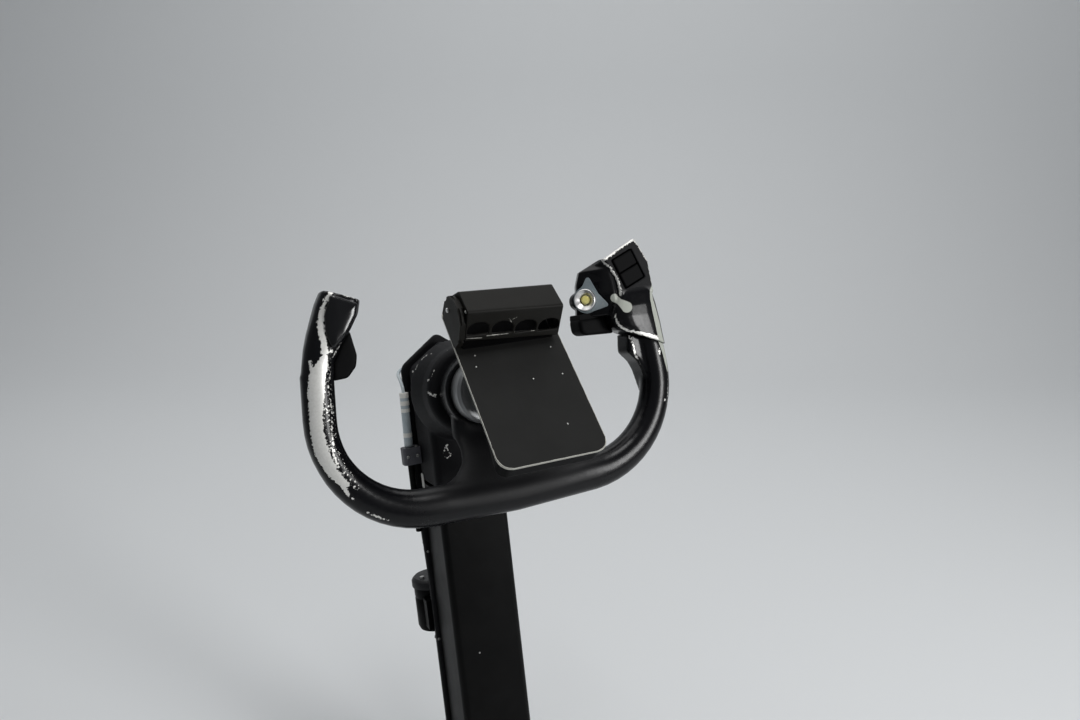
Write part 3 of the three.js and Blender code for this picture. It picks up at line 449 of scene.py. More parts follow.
# A closed outline with one radius for each corner, from rows of across, up and radius.
def rounded(rows, step=12):
    points = []
    for i, (x, y, radius) in enumerate(rows):
        here = Vector((x, y))
        back = (Vector(rows[i - 1][:2]) - here).normalized()
        on = (Vector(rows[(i + 1) % len(rows)][:2]) - here).normalized()
        if radius <= 0:
            points.append(here)
            continue
        half = math.acos(max(-1.0, min(1.0, back.dot(on)))) / 2
        middle = here + (back + on).normalized() * radius / math.sin(half)
        start = here + back * radius / math.tan(half) - middle
        turn = (on * radius / math.tan(half) + here - middle).angle_signed(start)
        count = max(2, round(abs(math.degrees(turn)) / step))
        for k in range(count + 1):
            points.append(middle + Matrix.Rotation(turn * k / count, 2) @ start)
    return points


# Joins rings of corners by faces, one ring after another. A ring of one corner is a closed tip.
def joined_rings(work, rings):
    for one, two in zip(rings, rings[1:]):
        count = max(len(one), len(two))
        for k in range(count):
            j = (k + 1) % count
            corners = [one[k % len(one)], one[j % len(one)], two[j % len(two)], two[k % len(two)]]
            work.faces.new(list(dict.fromkeys(corners)))


# Closes a mesh in the making: faces outwards, the part's millimetres turned to the frame's metres.
SHARP_FROM = math.radians(40)


def settled(work, place):
    bmesh.ops.recalc_face_normals(work, faces=work.faces)
    bmesh.ops.transform(work, matrix=place @ Matrix.Scale(MM, 4), verts=work.verts)
    mesh = bpy.data.meshes.new("part")
    work.to_mesh(mesh)
    work.free()
    mesh.shade_smooth()
    mesh.set_sharp_from_angle(angle=SHARP_FROM)
    return mesh


# A cushion-shaped cap on a flat foot: the outline's rim, then rings drawn in over a low crown.
DOME_RINGS = 14


def domed_cap(rows, foot, rim, crown, place):
    outline = rounded(rows, 6)
    middle = sum(outline, Vector((0, 0))) / len(outline)
    levels = [(1.0, foot), (1.0, foot - rim)]
    for k in range(1, DOME_RINGS + 1):
        turn = math.pi / 2 * k / DOME_RINGS
        levels.append((math.cos(turn) ** 0.7, foot - rim - crown * math.sin(turn) ** 0.8))
    work = bmesh.new()
    made = []
    for scale, depth in levels:
        corners = outline if scale > 1e-3 else [middle]
        made.append([work.verts.new((middle.x + (p.x - middle.x) * scale, depth,
                                     middle.y + (p.y - middle.y) * scale)) for p in corners])
    work.faces.new(made[0])
    joined_rings(work, made)
    return settled(work, place)


# A plain paint or moulded plastic: two close tones in blotches of 29 mm, a grain of 0.6 mm in the
# surface, which is as fine as shows, and paler rubbed marks of 17 mm where it is handled.
TONE_CELLS, RUB_CELLS, GRAIN_CELLS = 35.0, 60.0, 1000.0 / 0.6 / 2


def finish(name, tone, second, roughness, grain=1.0, rubbed=None, rub_amount=0.0, level=0.3):
    material, tree, shader = new_material(name, IOR=1.5, Specular_IOR_Level=level)
    place = add_node(tree, "ShaderNodeTexCoord", output="Object")
    blotch = add_node(tree, "ShaderNodeTexNoise", {"Vector": place, "Scale": TONE_CELLS, "Detail": 4.0,
                                                   "Roughness": 0.6})
    fine = add_node(tree, "ShaderNodeTexNoise", {"Vector": place, "Scale": GRAIN_CELLS, "Detail": 2.0})
    spread = add_node(tree, "ShaderNodeMapRange", {"Value": blotch, "From Min": 0.35, "From Max": 0.65})
    colour = add_node(tree, "ShaderNodeMix", {"Factor": spread, "A": linear(tone), "B": linear(second)},
                      data_type="RGBA")
    rough = add_node(tree, "ShaderNodeMapRange",
                     {"Value": blotch, "To Min": roughness - 0.07, "To Max": roughness + 0.07})
    if rubbed:
        scratch = add_node(tree, "ShaderNodeTexNoise",
                           {"Vector": place, "Scale": RUB_CELLS, "Detail": 9.0, "Roughness": 0.72,
                            "Distortion": 0.4})
        mask = add_node(tree, "ShaderNodeMapRange",
                        {"Value": scratch, "From Min": 0.66 - rub_amount, "From Max": 0.8 - rub_amount})
        colour = add_node(tree, "ShaderNodeMix", {"Factor": mask, "A": colour, "B": linear(rubbed)},
                          data_type="RGBA")
    bump = add_node(tree, "ShaderNodeBump", {"Height": fine, "Strength": 0.35 * grain, "Distance": 0.1 * MM})
    feed(tree, shader, {"Base Color": colour, "Roughness": rough, "Normal": bump})
    return material


COVER = [(-162.5, 118.6, 3), (-139.2, 107.1, 2.5), (-141.8, 97.3, 14), (-154.2, 78.5, 30),
         (-168.8, 66.4, 2.5), (-173.2, 82, 30), (-171.6, 101, 24)]
# Polished ABS: nearly black, with a clear gloss and hardly any grain
polished_cap = finish("polished_black_abs", "#060607", "#0b0b0e", 0.17, grain=0.25, level=0.5)
add_piece("left_cover_skin", domed_cap(COVER, -18 - TRIM, 0.8, 3.4, WHEEL), "wheel", polished_cap,
          ["left_head_cover"])


# The transmit trigger under the left head, the microphone switch's housing under the right one,
# and the two trim rockers on its face. All are moulded in black nylon, and each is held by screws
# from behind or snapped on its switch. The nylon is dull, with a grain that breaks up reflections.
moulded_black = finish("moulded_black_nylon", "#060607", "#0b0b0c", 0.6, grain=1.4, level=0.08)


# Adds the skin of one CAD node as a piece of its own, with its faces' size and rounds of easing.
def add_skin(name, node, face, rounds, body, material):
    add_piece(name, cast_skin(node, face, rounds), body, material, [node])


add_skin("trigger_skin", "transmit_trigger", 0.9, 40, "wheel", moulded_black)
add_skin("switch_housing_skin", "switch_housing", 0.9, 24, "wheel", moulded_black)


# A plate from an outline, pushed from one depth to another: 'facing' pushes it forward, 'across'
# pushes it to the right, and 'upright' pushes it up.
AXES = {"facing": lambda u, v, w: (u, w, v), "across": lambda u, v, w: (w, u, v),
        "upright": lambda u, v, w: (u, v, w)}


def plate(rows, low, high, way, place, ease=0.5, segments=2):
    work = bmesh.new()
    rings = [[work.verts.new(AXES[way](p.x, p.y, depth)) for p in rounded(rows)] for depth in (low, high)]
    for ring in rings:
        work.faces.new(ring)
    joined_rings(work, rings)
    rims = [e for e in work.edges if any(len(f.verts) > 4 for f in e.link_faces)]
    bmesh.ops.bevel(work, geom=rims, offset=ease, segments=segments, affect="EDGES", clamp_overlap=True)
    return settled(work, place)


# The strip of the same nylon that seals the housing against the lobe
gasket_rows = [(107.5, 61, 1), (148, 61, 1), (148, 67.5, 1), (108.5, 67.5, 1)]
add_piece("switch_gasket", plate(gasket_rows, 7.5, 33, "facing", WHEEL, 0.4), "wheel", moulded_black)
for node in ("trim_rocker_upper", "trim_rocker_lower"):
    add_skin(node + "_skin", node, 0.45, 3, "wheel", moulded_black)


# The disconnect button on its lobe: a blue-grey flange plate with two pointed ears, a polished
# steel guard ring pressed on it, and a yellow moulded button sunk in the ring.
LOBE_NEAR, LOBE_END, LOBE_PART, BUTTON_UP = (142, -15), (105, 20), 0.6, 82.7
lobe_run = Vector(LOBE_END) - Vector(LOBE_NEAR)
lobe_at = Vector(LOBE_NEAR) + LOBE_PART * lobe_run
LOBE_FACE = (WHEEL @ Matrix.Translation(Vector((lobe_at.x, lobe_at.y, BUTTON_UP)) * MM)
             @ Matrix.Rotation(math.atan2(lobe_run.y, lobe_run.x) - math.pi, 4, "Z"))
FLANGE_THICK, COLLAR_RADIUS, BUTTON_RADIUS = 2.5, 12.2, 4.9
# Brushed-on paint over steel: an even blue-grey, half matt, scuffed paler in places
blue_plate = finish("blue_grey_painted_steel", "#727d83", "#858e92", 0.5, rubbed="#a9b0ac", rub_amount=0.05)
FLANGE_CORNERS = [
    # angle, reach, corner radius
    (82, 27, 2.2), (104, 15.6, 3), (140, 16.3, 9), (180, 16.3, 9), (220, 16.3, 9), (262, 15.8, 9),
    (298, 14.7, 3), (338.6, 26, 2.2), (22, 14, 6),
]
ears = [(reach * math.cos(math.radians(turn)), reach * math.sin(math.radians(turn)), radius)
        for turn, reach, radius in FLANGE_CORNERS]
add_piece("flange_plate", plate(ears, -FLANGE_THICK, -TRIM, "facing", LOBE_FACE), "wheel", blue_plate,
          ["button_flange"])


# A turned piece from pairs of radius and place along its line, which runs forward, across or up.
LINES = {"forward": Matrix(((1, 0, 0), (0, 0, 1), (0, 1, 0))),
         "across": Matrix(((0, 0, 1), (1, 0, 0), (0, 1, 0))), "up": Matrix.Identity(3)}
CORNERS_FROM = math.radians(20)


def turned(profile, line, at, place, ease=0.3, count=72):
    work = bmesh.new()
    rings = []
    for radius, along in profile:
        turns = [2 * math.pi * k / count for k in range(count if radius else 1)]
        rings.append([work.verts.new((radius * math.cos(t), radius * math.sin(t), along)) for t in turns])
    joined_rings(work, rings)
    if ease:
        corners = [e for e in work.edges if len(e.link_faces) == 2 and e.calc_face_angle(0) > CORNERS_FROM]
        bmesh.ops.bevel(work, geom=corners, offset=ease, segments=2, affect="EDGES", clamp_overlap=True)
    bmesh.ops.transform(work, matrix=Matrix.Translation(at) @ LINES[line].to_4x4(), verts=work.verts)
    return settled(work, place)


# Stainless steel, turned and polished, then clouded by fingers: bright, with a soft gloss that
# changes over 1.4 mm
polished_steel, tree, shader = new_material("polished_stainless_steel", Metallic=1.0)
place = add_node(tree, "ShaderNodeTexCoord", output="Object")
grain = add_node(tree, "ShaderNodeTexNoise", {"Vector": place, "Scale": 700.0, "Detail": 3.0})
gloss = add_node(tree, "ShaderNodeMapRange", {"Value": grain, "To Min": 0.26, "To Max": 0.42})
feed(tree, shader, {"Base Color": linear("#e4e3e2"), "Roughness": gloss})
foot = -FLANGE_THICK - TRIM
collar = [(0, foot), (COLLAR_RADIUS - 1.6, foot), (COLLAR_RADIUS - 0.8, foot - 4), (COLLAR_RADIUS, foot - 8),
          (COLLAR_RADIUS - 0.3, foot - 9.4), (COLLAR_RADIUS - 0.9, foot - 10),
          (COLLAR_RADIUS - 1.5, foot - 9.7), (BUTTON_RADIUS + 1.4, foot - 6.2),
          (BUTTON_RADIUS + 0.9, foot - 3), (0, foot - 3)]
add_piece("guard_ring", turned(collar, "forward", (0, 0, 0), LOBE_FACE, 0.25, 96), "wheel", polished_steel,
          ["button_collar"])
# Acetal is yellow right through, with a soft waxy gloss
yellow_cap = finish("moulded_yellow_acetal", "#fbe96a", "#fff6a6", 0.35, grain=0.5, level=0.5)
cap_top = foot - 8
button = [(0, foot - 3 - TRIM), (BUTTON_RADIUS, foot - 3 - TRIM), (BUTTON_RADIUS, cap_top + 1.2),
          (BUTTON_RADIUS - 1, cap_top + 0.3), (BUTTON_RADIUS - 3, cap_top), (0, cap_top + 0.4)]
add_piece("yellow_button", turned(button, "forward", (0, 0, 0), LOBE_FACE, 0.4, 64), "wheel", yellow_cap,
          ["disconnect_button"])


# The hub: a plain turned cap in grey anodised aluminium inside the casting's dark ring, pressed
# into it. Lathe rings 2 mm apart show on it as fine circles in the gloss, coarser than the real
# ones, which wouldn't show, and the anodising is clouded over 17 mm.
HUB_RADIUS, HUB_FRONT, HUB_BACK = 36.5, 30, 54.7
anodised, tree, shader = new_material("grey_anodised_aluminium", Metallic=0.75)
place = add_node(tree, "ShaderNodeTexCoord", output="Object")
centred = add_node(tree, "ShaderNodeMapping",
                   {"Vector": place, "Location": WHEEL.translation, "Rotation": WHEEL.to_euler()},
                   vector_type="TEXTURE")
flat = add_node(tree, "ShaderNodeVectorMath", {0: centred, 1: (1, 0, 1)}, operation="MULTIPLY")
rings = add_node(tree, "ShaderNodeTexWave",
                 {"Vector": flat, "Scale": 160.0, "Distortion": 0.3, "Detail": 2.0}, output="Fac",
                 wave_type="RINGS", rings_direction="SPHERICAL")
cloud = add_node(tree, "ShaderNodeTexNoise", {"Vector": place, "Scale": 60.0, "Detail": 4.0})
tint = add_node(tree, "ShaderNodeMix", {"Factor": cloud, "A": linear("#8b8d8e"), "B": linear("#b0b1b1")},
                data_type="RGBA")
gloss = add_node(tree, "ShaderNodeMapRange", {"Value": rings, "To Min": 0.3, "To Max": 0.44})
ripple = add_node(tree, "ShaderNodeBump", {"Height": rings, "Strength": 0.4, "Distance": 0.05 * MM})
feed(tree, shader, {"Base Color": tint, "Roughness": gloss, "Normal": ripple})
hub = [(0, HUB_FRONT + 3), (15, HUB_FRONT + 3), (16, HUB_FRONT + 0.6), (27, HUB_FRONT + 0.6), (28, HUB_FRONT),
       (HUB_RADIUS - 3, HUB_FRONT), (HUB_RADIUS, HUB_FRONT + 3), (HUB_RADIUS, HUB_BACK), (0, HUB_BACK)]
add_piece("hub_disc", turned(hub, "forward", (0, 0, 0), WHEEL, 0.5, 96), "wheel", anodised,
          ["hub_cap"])


# The chart board: an olive-black matt painted aluminium plate on a deep moulded tray. Charts slid
# on and off have polished its edge to a thin bright line. A folded bracket holds it to the wheel.
BOARD_TILT = 35.4
BOARD = leaning(WHEEL_TILT + BOARD_TILT, WHEEL @ (Vector((0, -78, -1.5)) * MM))
CHART = {"half": 56.5, "low": -74.5, "top": 112, "thick": 2.5, "corner": 13, "top_corner": 6}
board_rows = [(-CHART["half"], CHART["low"], CHART["corner"]), (CHART["half"], CHART["low"], CHART["corner"]),
              (CHART["half"], CHART["top"], CHART["top_corner"]),
              (-CHART["half"], CHART["top"], CHART["top_corner"])]


# Matt paint over sheet metal, in two close tones blotched over 38 mm, scuffed pale in marks of
# 9 mm, and rubbed to bright metal along the edge. Its grain is 0.8 mm, coarse enough to show.
SHEET_BLOTCHES, SHEET_SCUFFS, SHEET_GRAIN = 26.0, 110.0, 1300.0
SCUFF_DUST, SHEET_METAL = "#6f6e68", "#b4b3ac"


def worn_sheet(name, tone, second, scuffs, roughness, edge_from):
    material, tree, shader = new_material(name, IOR=1.5, Specular_IOR_Level=0.15)
    place = add_node(tree, "ShaderNodeTexCoord", output="Object")
    edge = add_node(tree, "ShaderNodeAttribute", output="Fac", attribute_name="edge")
    blotch = add_node(tree, "ShaderNodeTexNoise",
                      {"Vector": place, "Scale": SHEET_BLOTCHES, "Detail": 5.0, "Roughness": 0.6})
    scuff = add_node(tree, "ShaderNodeTexNoise",
                     {"Vector": place, "Scale": SHEET_SCUFFS, "Detail": 8.0, "Roughness": 0.75})
    fine = add_node(tree, "ShaderNodeTexNoise", {"Vector": place, "Scale": SHEET_GRAIN, "Detail": 2.0})
    spread = add_node(tree, "ShaderNodeMapRange", {"Value": blotch, "From Min": 0.35, "From Max": 0.65})
    base = add_node(tree, "ShaderNodeMix", {"Factor": spread, "A": linear(tone), "B": linear(second)},
                    data_type="RGBA")
    pale = add_node(tree, "ShaderNodeMapRange",
                    {"Value": scuff, "From Min": 0.72 - scuffs, "From Max": 0.9 - scuffs, "To Max": 0.7})
    dusty = add_node(tree, "ShaderNodeMix", {"Factor": pale, "A": base, "B": linear(SCUFF_DUST)},
                     data_type="RGBA")
    reach = add_node(tree, "ShaderNodeMath", {0: scuff, 1: edge}, operation="MULTIPLY")
    rim = add_node(tree, "ShaderNodeMapRange",
                   {"Value": reach, "From Min": edge_from - 0.04, "From Max": edge_from + 0.04})
    colour = add_node(tree, "ShaderNodeMix", {"Factor": rim, "A": dusty, "B": linear(SHEET_METAL)},
                      data_type="RGBA")
    metallic = add_node(tree, "ShaderNodeMath", {0: rim, 1: 0.5}, operation="MULTIPLY")
    rough = add_node(tree, "ShaderNodeMapRange",
                     {"Value": blotch, "To Min": roughness - 0.08, "To Max": roughness + 0.08})
    bump = add_node(tree, "ShaderNodeBump", {"Height": fine, "Strength": 0.3, "Distance": 0.08 * MM})
    feed(tree, shader, {"Base Color": colour, "Metallic": metallic, "Roughness": rough, "Normal": bump})
    return material


olive_board = worn_sheet("matt_olive_paint_on_board", "#1a1a19", "#20201f", 0.03, 0.62, 0.3)
board_mesh = plate(board_rows, 0, CHART["thick"], "facing", BOARD, 0.7)
# A ring of narrow faces round the board's face keeps its bright edge from running inwards
RUBBED_EDGE = 1.3
work = bmesh.new()
work.from_mesh(board_mesh)
broad = [f for f in work.faces if len(f.verts) > 4]
bmesh.ops.inset_individual(work, faces=broad, thickness=RUBBED_EDGE * MM, depth=0)
work.verts.index_update()
within = {v.index for f in work.faces if len(f.verts) > 4 for v in f.verts}
work.to_mesh(board_mesh)
work.free()
board_mesh.set_sharp_from_angle(angle=SHARP_FROM)
mark(board_mesh, "edge", [0.0 if v.index in within else 1.0 for v in board_mesh.vertices])
add_piece("board_plate", board_mesh, "wheel", olive_board, ["chart_board"])
# The moulded tray is black nylon; the dark band it shows below the board's lower edge is partly its own black
# and partly a painted shadow of the board
add_skin("tray_skin", "board_tray", 1.3, 2, "wheel", moulded_black)


# The chart clip: a pressed aluminium hood on a hinge pin, sprung shut on the board, with four
# arched windows so that the top line of a chart can be read. The left end has a deep cap, the
# right a plain lug. Its olive-black paint has a little more gloss than the board's.
olive_hood = worn_sheet("matt_olive_paint_on_hood", "#12110e", "#181714", 0.03, 0.5, 0.42)
# Bright rubs along the windows' lower edges, two scratches over one of the arches, and a painted
# highlight at the left end of the front ridge
HOOD_RUBS_AND_HIGHLIGHT = [
    [(-49.5, -20, 60.4, 0.7), (-33.5, -18.5, 60, 0.8)], [(-28.3, -20, 60.4, 0.8), (-5.5, -19.2, 60, 0.8)],
    [(0.9, -19.9, 60.2, 0.8), (23.2, -18.3, 59.9, 0.7)], [(29, -18.4, 60, 0.6), (49, -18.1, 60.1, 0.7)],
    [(-9.8, -40.4, 66.9, 0.2), (-4.5, -33, 64.2, 0.7), (-1.4, -24.7, 61.9, 0.5), (-1.4, -20, 60.4, 0.5)],
    # The second scratch, then the painted highlight at the ridge's left end
    [(4.2, -38, 65.8, 0.3), (-3, -35, 65, 0.7)], [(-50.8, -42, 67.4, 1)],
]
hood_skin = cast_skin("clip_hood", 0.75, 2)
# The rubs and the painted highlight both go into the hood's bright edge
rubbed = np.clip(0.5 + inside_strokes(local_points(hood_skin, BOARD), HOOD_RUBS_AND_HIGHLIGHT), 0, 1)
mark(hood_skin, "edge", np.maximum(edge_sharpness(hood_skin), rubbed))
add_piece("hood_skin", hood_skin, "clip", olive_hood, ["clip_hood"])
CAP_OUTER, CAP_INNER = -57, -51.1
cap_rows = [(-0.3, 64, 2), (-17, 59, 8), (-44, 69.5, 14), (-41, 99, 16), (-25, 109, 14), (-0.3, 106, 4)]
end_cap = plate(cap_rows, CAP_OUTER, CAP_INNER, "across", BOARD, 2.6, 5)
mark(end_cap, "edge", np.zeros(len(end_cap.vertices)))
add_piece("end_cap_skin", end_cap, "wheel", olive_hood, ["clip_end_cap"])
lug_skin = cast_skin("clip_lug", 0.6, 4)
mark(lug_skin, "edge", edge_sharpness(lug_skin))
add_piece("lug_skin", lug_skin, "wheel", olive_hood, ["clip_lug"])
# A strip of black nylon laid on the board under the clip as painted shade: it keeps the board dark
# behind the windows, where the hood's shadow falls
shade_strip_rows = [(-49, 62, 2), (49, 62, 2), (49, 92, 2), (-49, 92, 2)]
add_piece("shade_strip_under_clip", plate(shade_strip_rows, -1.8, -0.1, "facing", BOARD, 0.4), "wheel", moulded_black)


# The column's head: a casting that carries the wheel's bearing, in satin black enamel with bright
# knocks along its shoulder, and the back plate whose edge stands out round it as a flange. The
# enamel is sprayed on thick, so that it spreads the light and looks duller than the wheel's.
COLUMN_LEAN = 14.5
COLUMN = leaning(COLUMN_LEAN, Vector(joints["column_pitch"]["pos_m"]))
HEAD_KNOCKS = [
    [(-42, 10, 580, 0.9), (-43.5, 0, 580.5, 0.5)], [(-50, -33, 587, 1), (-46.6, -33.6, 592, 0.7)],
    [(-42.4, -34, 597, 0.9), (-38.7, -35, 600, 0.8), (-35.2, -38, 602.5, 0.6)], [(-32.7, -44, 603.2, 0.8)],
    [(-52.5, -78.3, 564.2, 1), (-50, -82.7, 562.7, 1.5), (-45.3, -84.3, 559.7, 1.3)],
    [(-50, -75, 577, 0.9), (-48.2, -79, 578.5, 0.4), (-42, -80, 588.4, 0.1)], [(-21, -71, 607.7, 0.9)],
    [(-31.4, -38, 482.1, 0.4), (-26.3, -38, 490.8, 0.6), (-23.5, -38, 493.9, 0.5), (-25, -38, 487, 0.3),
     (-20.2, -38, 479.9, 0.5), (-26.7, -38, 477.6, 0.4), (-31.4, -38, 482.1, 0.3)],
]
column_head_skin = cast_skin("column_head", 1.6, 3)
wear(column_head_skin, COLUMN, HEAD_KNOCKS, 0.75)
casting_enamel = worn_enamel("satin_black_enamel_on_casting", coat="#0d0d10", roughness=0.56, peel=0.5,
                             level=0.16)
add_piece("column_head_skin", column_head_skin, "column", casting_enamel, ["column_head"])
back_skin = cast_skin("column_back_plate", 1.9, 2)
wear(back_skin, COLUMN, [], 0.7)
add_piece("back_plate_skin", back_skin, "column", casting_enamel, ["column_back_plate"])


# The column's box: a folded steel tube under the head, in satin grey-black paint over its round
# front corners. The paint is smooth and dark, and boots have rubbed it a little paler in places.
BOX = {"half": 43, "front": -38, "back": 29, "radius": 8, "foot": 62, "seam": 440}
box_rows = [(-BOX["half"], BOX["front"], BOX["radius"]), (BOX["half"], BOX["front"], BOX["radius"]),
            (BOX["half"], BOX["back"], 2), (-BOX["half"], BOX["back"], 2)]
box_paint = finish("satin_grey_black_paint_on_steel", "#040404", "#080808", 0.42, grain=0.8, rubbed="#161616",
                   rub_amount=0.02, level=0.1)
add_piece("column_box_skin", plate(box_rows, BOX["foot"], BOX["seam"], "upright", COLUMN, 0.8), "column",
          box_paint, ["column_box"])

# The plain cable tag tied flat on the box's left side, in white nylon: milky, with a low gloss
white_nylon = finish("white_moulded_nylon", "#f4f3ee", "#e6e4dc", 0.45, grain=0.8)
tag_rows = [(15, 434, 1.5), (22, 434, 1.5), (22, 452, 1.5), (15, 452, 1.5)]
add_piece("cable_tag", plate(tag_rows, -BOX["half"] - 1.2, -BOX["half"] - 0.1, "across", COLUMN, 0.3),
          "column", white_nylon)


# The stick shaker: a drawn steel motor can on the back plate, low on the left, held in a cast
# saddle. Its black paint is smooth and keeps a low gloss, and its turned grey lid is duller, with
# rubbed rims.
SHAKER_AT, SHAKER_RADIUS, SHAKER_TOP, LID_RADIUS, LID_TOP = (-33.5, 70, 0), 25, 292, 27, 304
can = [(0, 233), (18, 233), (23, 235), (SHAKER_RADIUS, 240), (SHAKER_RADIUS, 276), (24.3, 277), (24.3, 279),
       (SHAKER_RADIUS, 280), (SHAKER_RADIUS, SHAKER_TOP), (0, SHAKER_TOP)]
can_paint = finish("black_paint_on_drawn_steel", "#050506", "#09090a", 0.36, grain=0.7, rubbed="#2a2a2a",
                   rub_amount=0.02, level=0.04)
add_piece("shaker_can", turned(can, "up", SHAKER_AT, COLUMN, 0.5, 96), "column", can_paint,
          ["shaker_motor"])
lid = [(0, SHAKER_TOP + TRIM), (LID_RADIUS, SHAKER_TOP + TRIM), (LID_RADIUS, LID_TOP - 4.5),
       (26, LID_TOP - 2.6), (23, LID_TOP), (0, LID_TOP)]
lid_paint = finish("grey_paint_on_turned_lid", "#1c1c1e", "#29292b", 0.45, rubbed="#6d6d6b", rub_amount=0.06)
add_piece("shaker_lid_skin", turned(lid, "up", SHAKER_AT, COLUMN, 0.5, 96), "column", lid_paint,
          ["shaker_lid"])
add_skin("shaker_saddle_skin", "shaker_saddle", 0.9, 2, "column", can_paint)


# The wiring: a shiny grey-blue heat-shrunk sleeve with plain white marker bands stands in a clamp
# of two halves, its lead bends back to a gland, and a painted rod runs on down below. The clamp's
# grey nylon is grainy and half matt, scuffed paler on its corners.
sleeve_vinyl = finish("grey_blue_heat_shrink", "#b4c0c5", "#ccd4d6", 0.2, grain=0.6, rubbed="#dfe4e4",
                      rub_amount=0.04, level=0.5)
add_skin("wiring_sleeve_skin", "wiring_sleeve", 0.55, 3, "column", sleeve_vinyl)
CLAMP = {"outer": -65, "inner": -43.3, "front": 12, "joint": 21, "back": 29, "low": 466, "high": 487}
clamp_front = [(CLAMP["outer"], CLAMP["front"], 4), (CLAMP["inner"], CLAMP["front"], 1),
               (CLAMP["inner"], CLAMP["joint"] - TRIM, 0.5), (CLAMP["outer"], CLAMP["joint"] - TRIM, 0.5)]
clamp_back = [(CLAMP["outer"], CLAMP["joint"] + TRIM, 0.5), (CLAMP["inner"], CLAMP["joint"] + TRIM, 0.5),
              (CLAMP["inner"], CLAMP["back"], 1), (CLAMP["outer"], CLAMP["back"], 4)]
clamp_nylon = finish("moulded_grey_nylon", "#4a4a4e", "#5a5a5f", 0.5, grain=1.4, rubbed="#8a8a84",
                     rub_amount=0.06)
for name, rows in (("clamp_front", clamp_front), ("clamp_back", clamp_back)):
    add_piece(name, plate(rows, CLAMP["low"], CLAMP["high"], "upright", COLUMN, 0.6), "column", clamp_nylon,
              ["wiring_clamp"])
WIRE_AT, SLEEVE_LEAN = (-55.5, 21, 0), 1.8
rod_line = [(0, 380), (3.4, 380), (4, 380.6), (4, 465.1), (3.4, 465.7), (0, 465.7)]
add_piece("wiring_rod_skin", turned(rod_line, "up", WIRE_AT, COLUMN, 0, 40), "column", box_paint,
          ["wiring_rod"])


# The fittings at the floor: a thick steel floor plate, two bearing blocks and the cast foot round
# a steel torque tube. The plate and the castings are brushed with grey-black paint, uneven and
# half matt. The tube is bare steel, ground across, so that its shine is drawn out in fine lines.
ground_steel, tree, shader = new_material("ground_steel", Metallic=1.0)
place = add_node(tree, "ShaderNodeTexCoord", output="Object")
lay = add_node(tree, "ShaderNodeMapping", {"Vector": place, "Scale": (1.0, 0.06, 0.06)})
lines = add_node(tree, "ShaderNodeTexNoise", {"Vector": lay, "Scale": 1400.0, "Detail": 3.0})
steel_tone = add_node(tree, "ShaderNodeMix",
                      {"Factor": lines, "A": linear("#77787a"), "B": linear("#9c9d9f")}, data_type="RGBA")
gloss = add_node(tree, "ShaderNodeMapRange", {"Value": lines, "To Min": 0.22, "To Max": 0.42})
feed(tree, shader, {"Base Color": steel_tone, "Roughness": gloss})
floor_paint = finish("grey_black_paint_on_steel_plate", "#17181a", "#222326", 0.5, grain=1.2,
                     rubbed="#5c5c5a", rub_amount=0.05)
PLATE_HALF, PLATE_DEEP, PLATE_THICK, PLATE_CORNER = 150, 110, 12, 16
plate_rows = [(x * PLATE_HALF, y * PLATE_DEEP, PLATE_CORNER) for x, y in ((-1, -1), (1, -1), (1, 1), (-1, 1))]
FLOOR = Matrix.Identity(4)
add_piece("floor_plate_skin", plate(plate_rows, 0, PLATE_THICK, "upright", FLOOR, 1.5, 3), "base",
          floor_paint, ["floor_plate"])
for node in ("bearing_left", "bearing_right", "forward_stop"):
    add_skin(node + "_skin", node, 1.2, 3, "base", floor_paint)
add_skin("column_foot_skin", "column_foot", 1.4, 3, "column", floor_paint)
add_skin("cable_arm_skin", "cable_arm", 0.9, 3, "column", floor_paint)
tube_line = [(0, -128), (22, -128), (24, -126), (24, 126), (22, 128), (0, 128)]
add_piece("torque_tube_skin", turned(tube_line, "across", (0, 0, 0), COLUMN, 0.4, 96), "column", ground_steel,
          ["torque_tube"])
# Moulded rubber for the stop's pad: black, matt and grainy
black_rubber = finish("moulded_black_rubber", "#0d0d0d", "#141414", 0.75, grain=1.6, level=0.25)
pad_line = [(0, 35), (10, 35), (11, 36), (11, 42), (10, 43), (0, 43)]
add_piece("stop_pad_skin", turned(pad_line, "forward", (0, 0, 44), COLUMN, 0.3, 64), "base", black_rubber,
          ["stop_pad"])


# The wheel's ground shaft in its boss, the folded bracket that carries the board, painted like the
# floor plate, and the clip's hinge pin of polished steel
shaft_line = [(0, 79.3), (17.4, 79.3), (18, 79.9), (18, 112.4), (17.4, 113), (0, 113)]
add_piece("wheel_shaft_skin", turned(shaft_line, "forward", (0, 0, 0), WHEEL, 0, 64), "wheel", ground_steel,
          ["wheel_shaft"])
add_skin("board_bracket_skin", "board_bracket", 0.9, 2, "wheel", floor_paint)
pin_line = [(0, -58.5), (1.9, -58.5), (2.5, -57.9), (2.5, 57.4), (1.9, 58), (0, 58)]
add_piece("clip_pin_skin", turned(pin_line, "across", (0, -20, 97), BOARD, 0, 32), "wheel", polished_steel,
          ["clip_pin"])


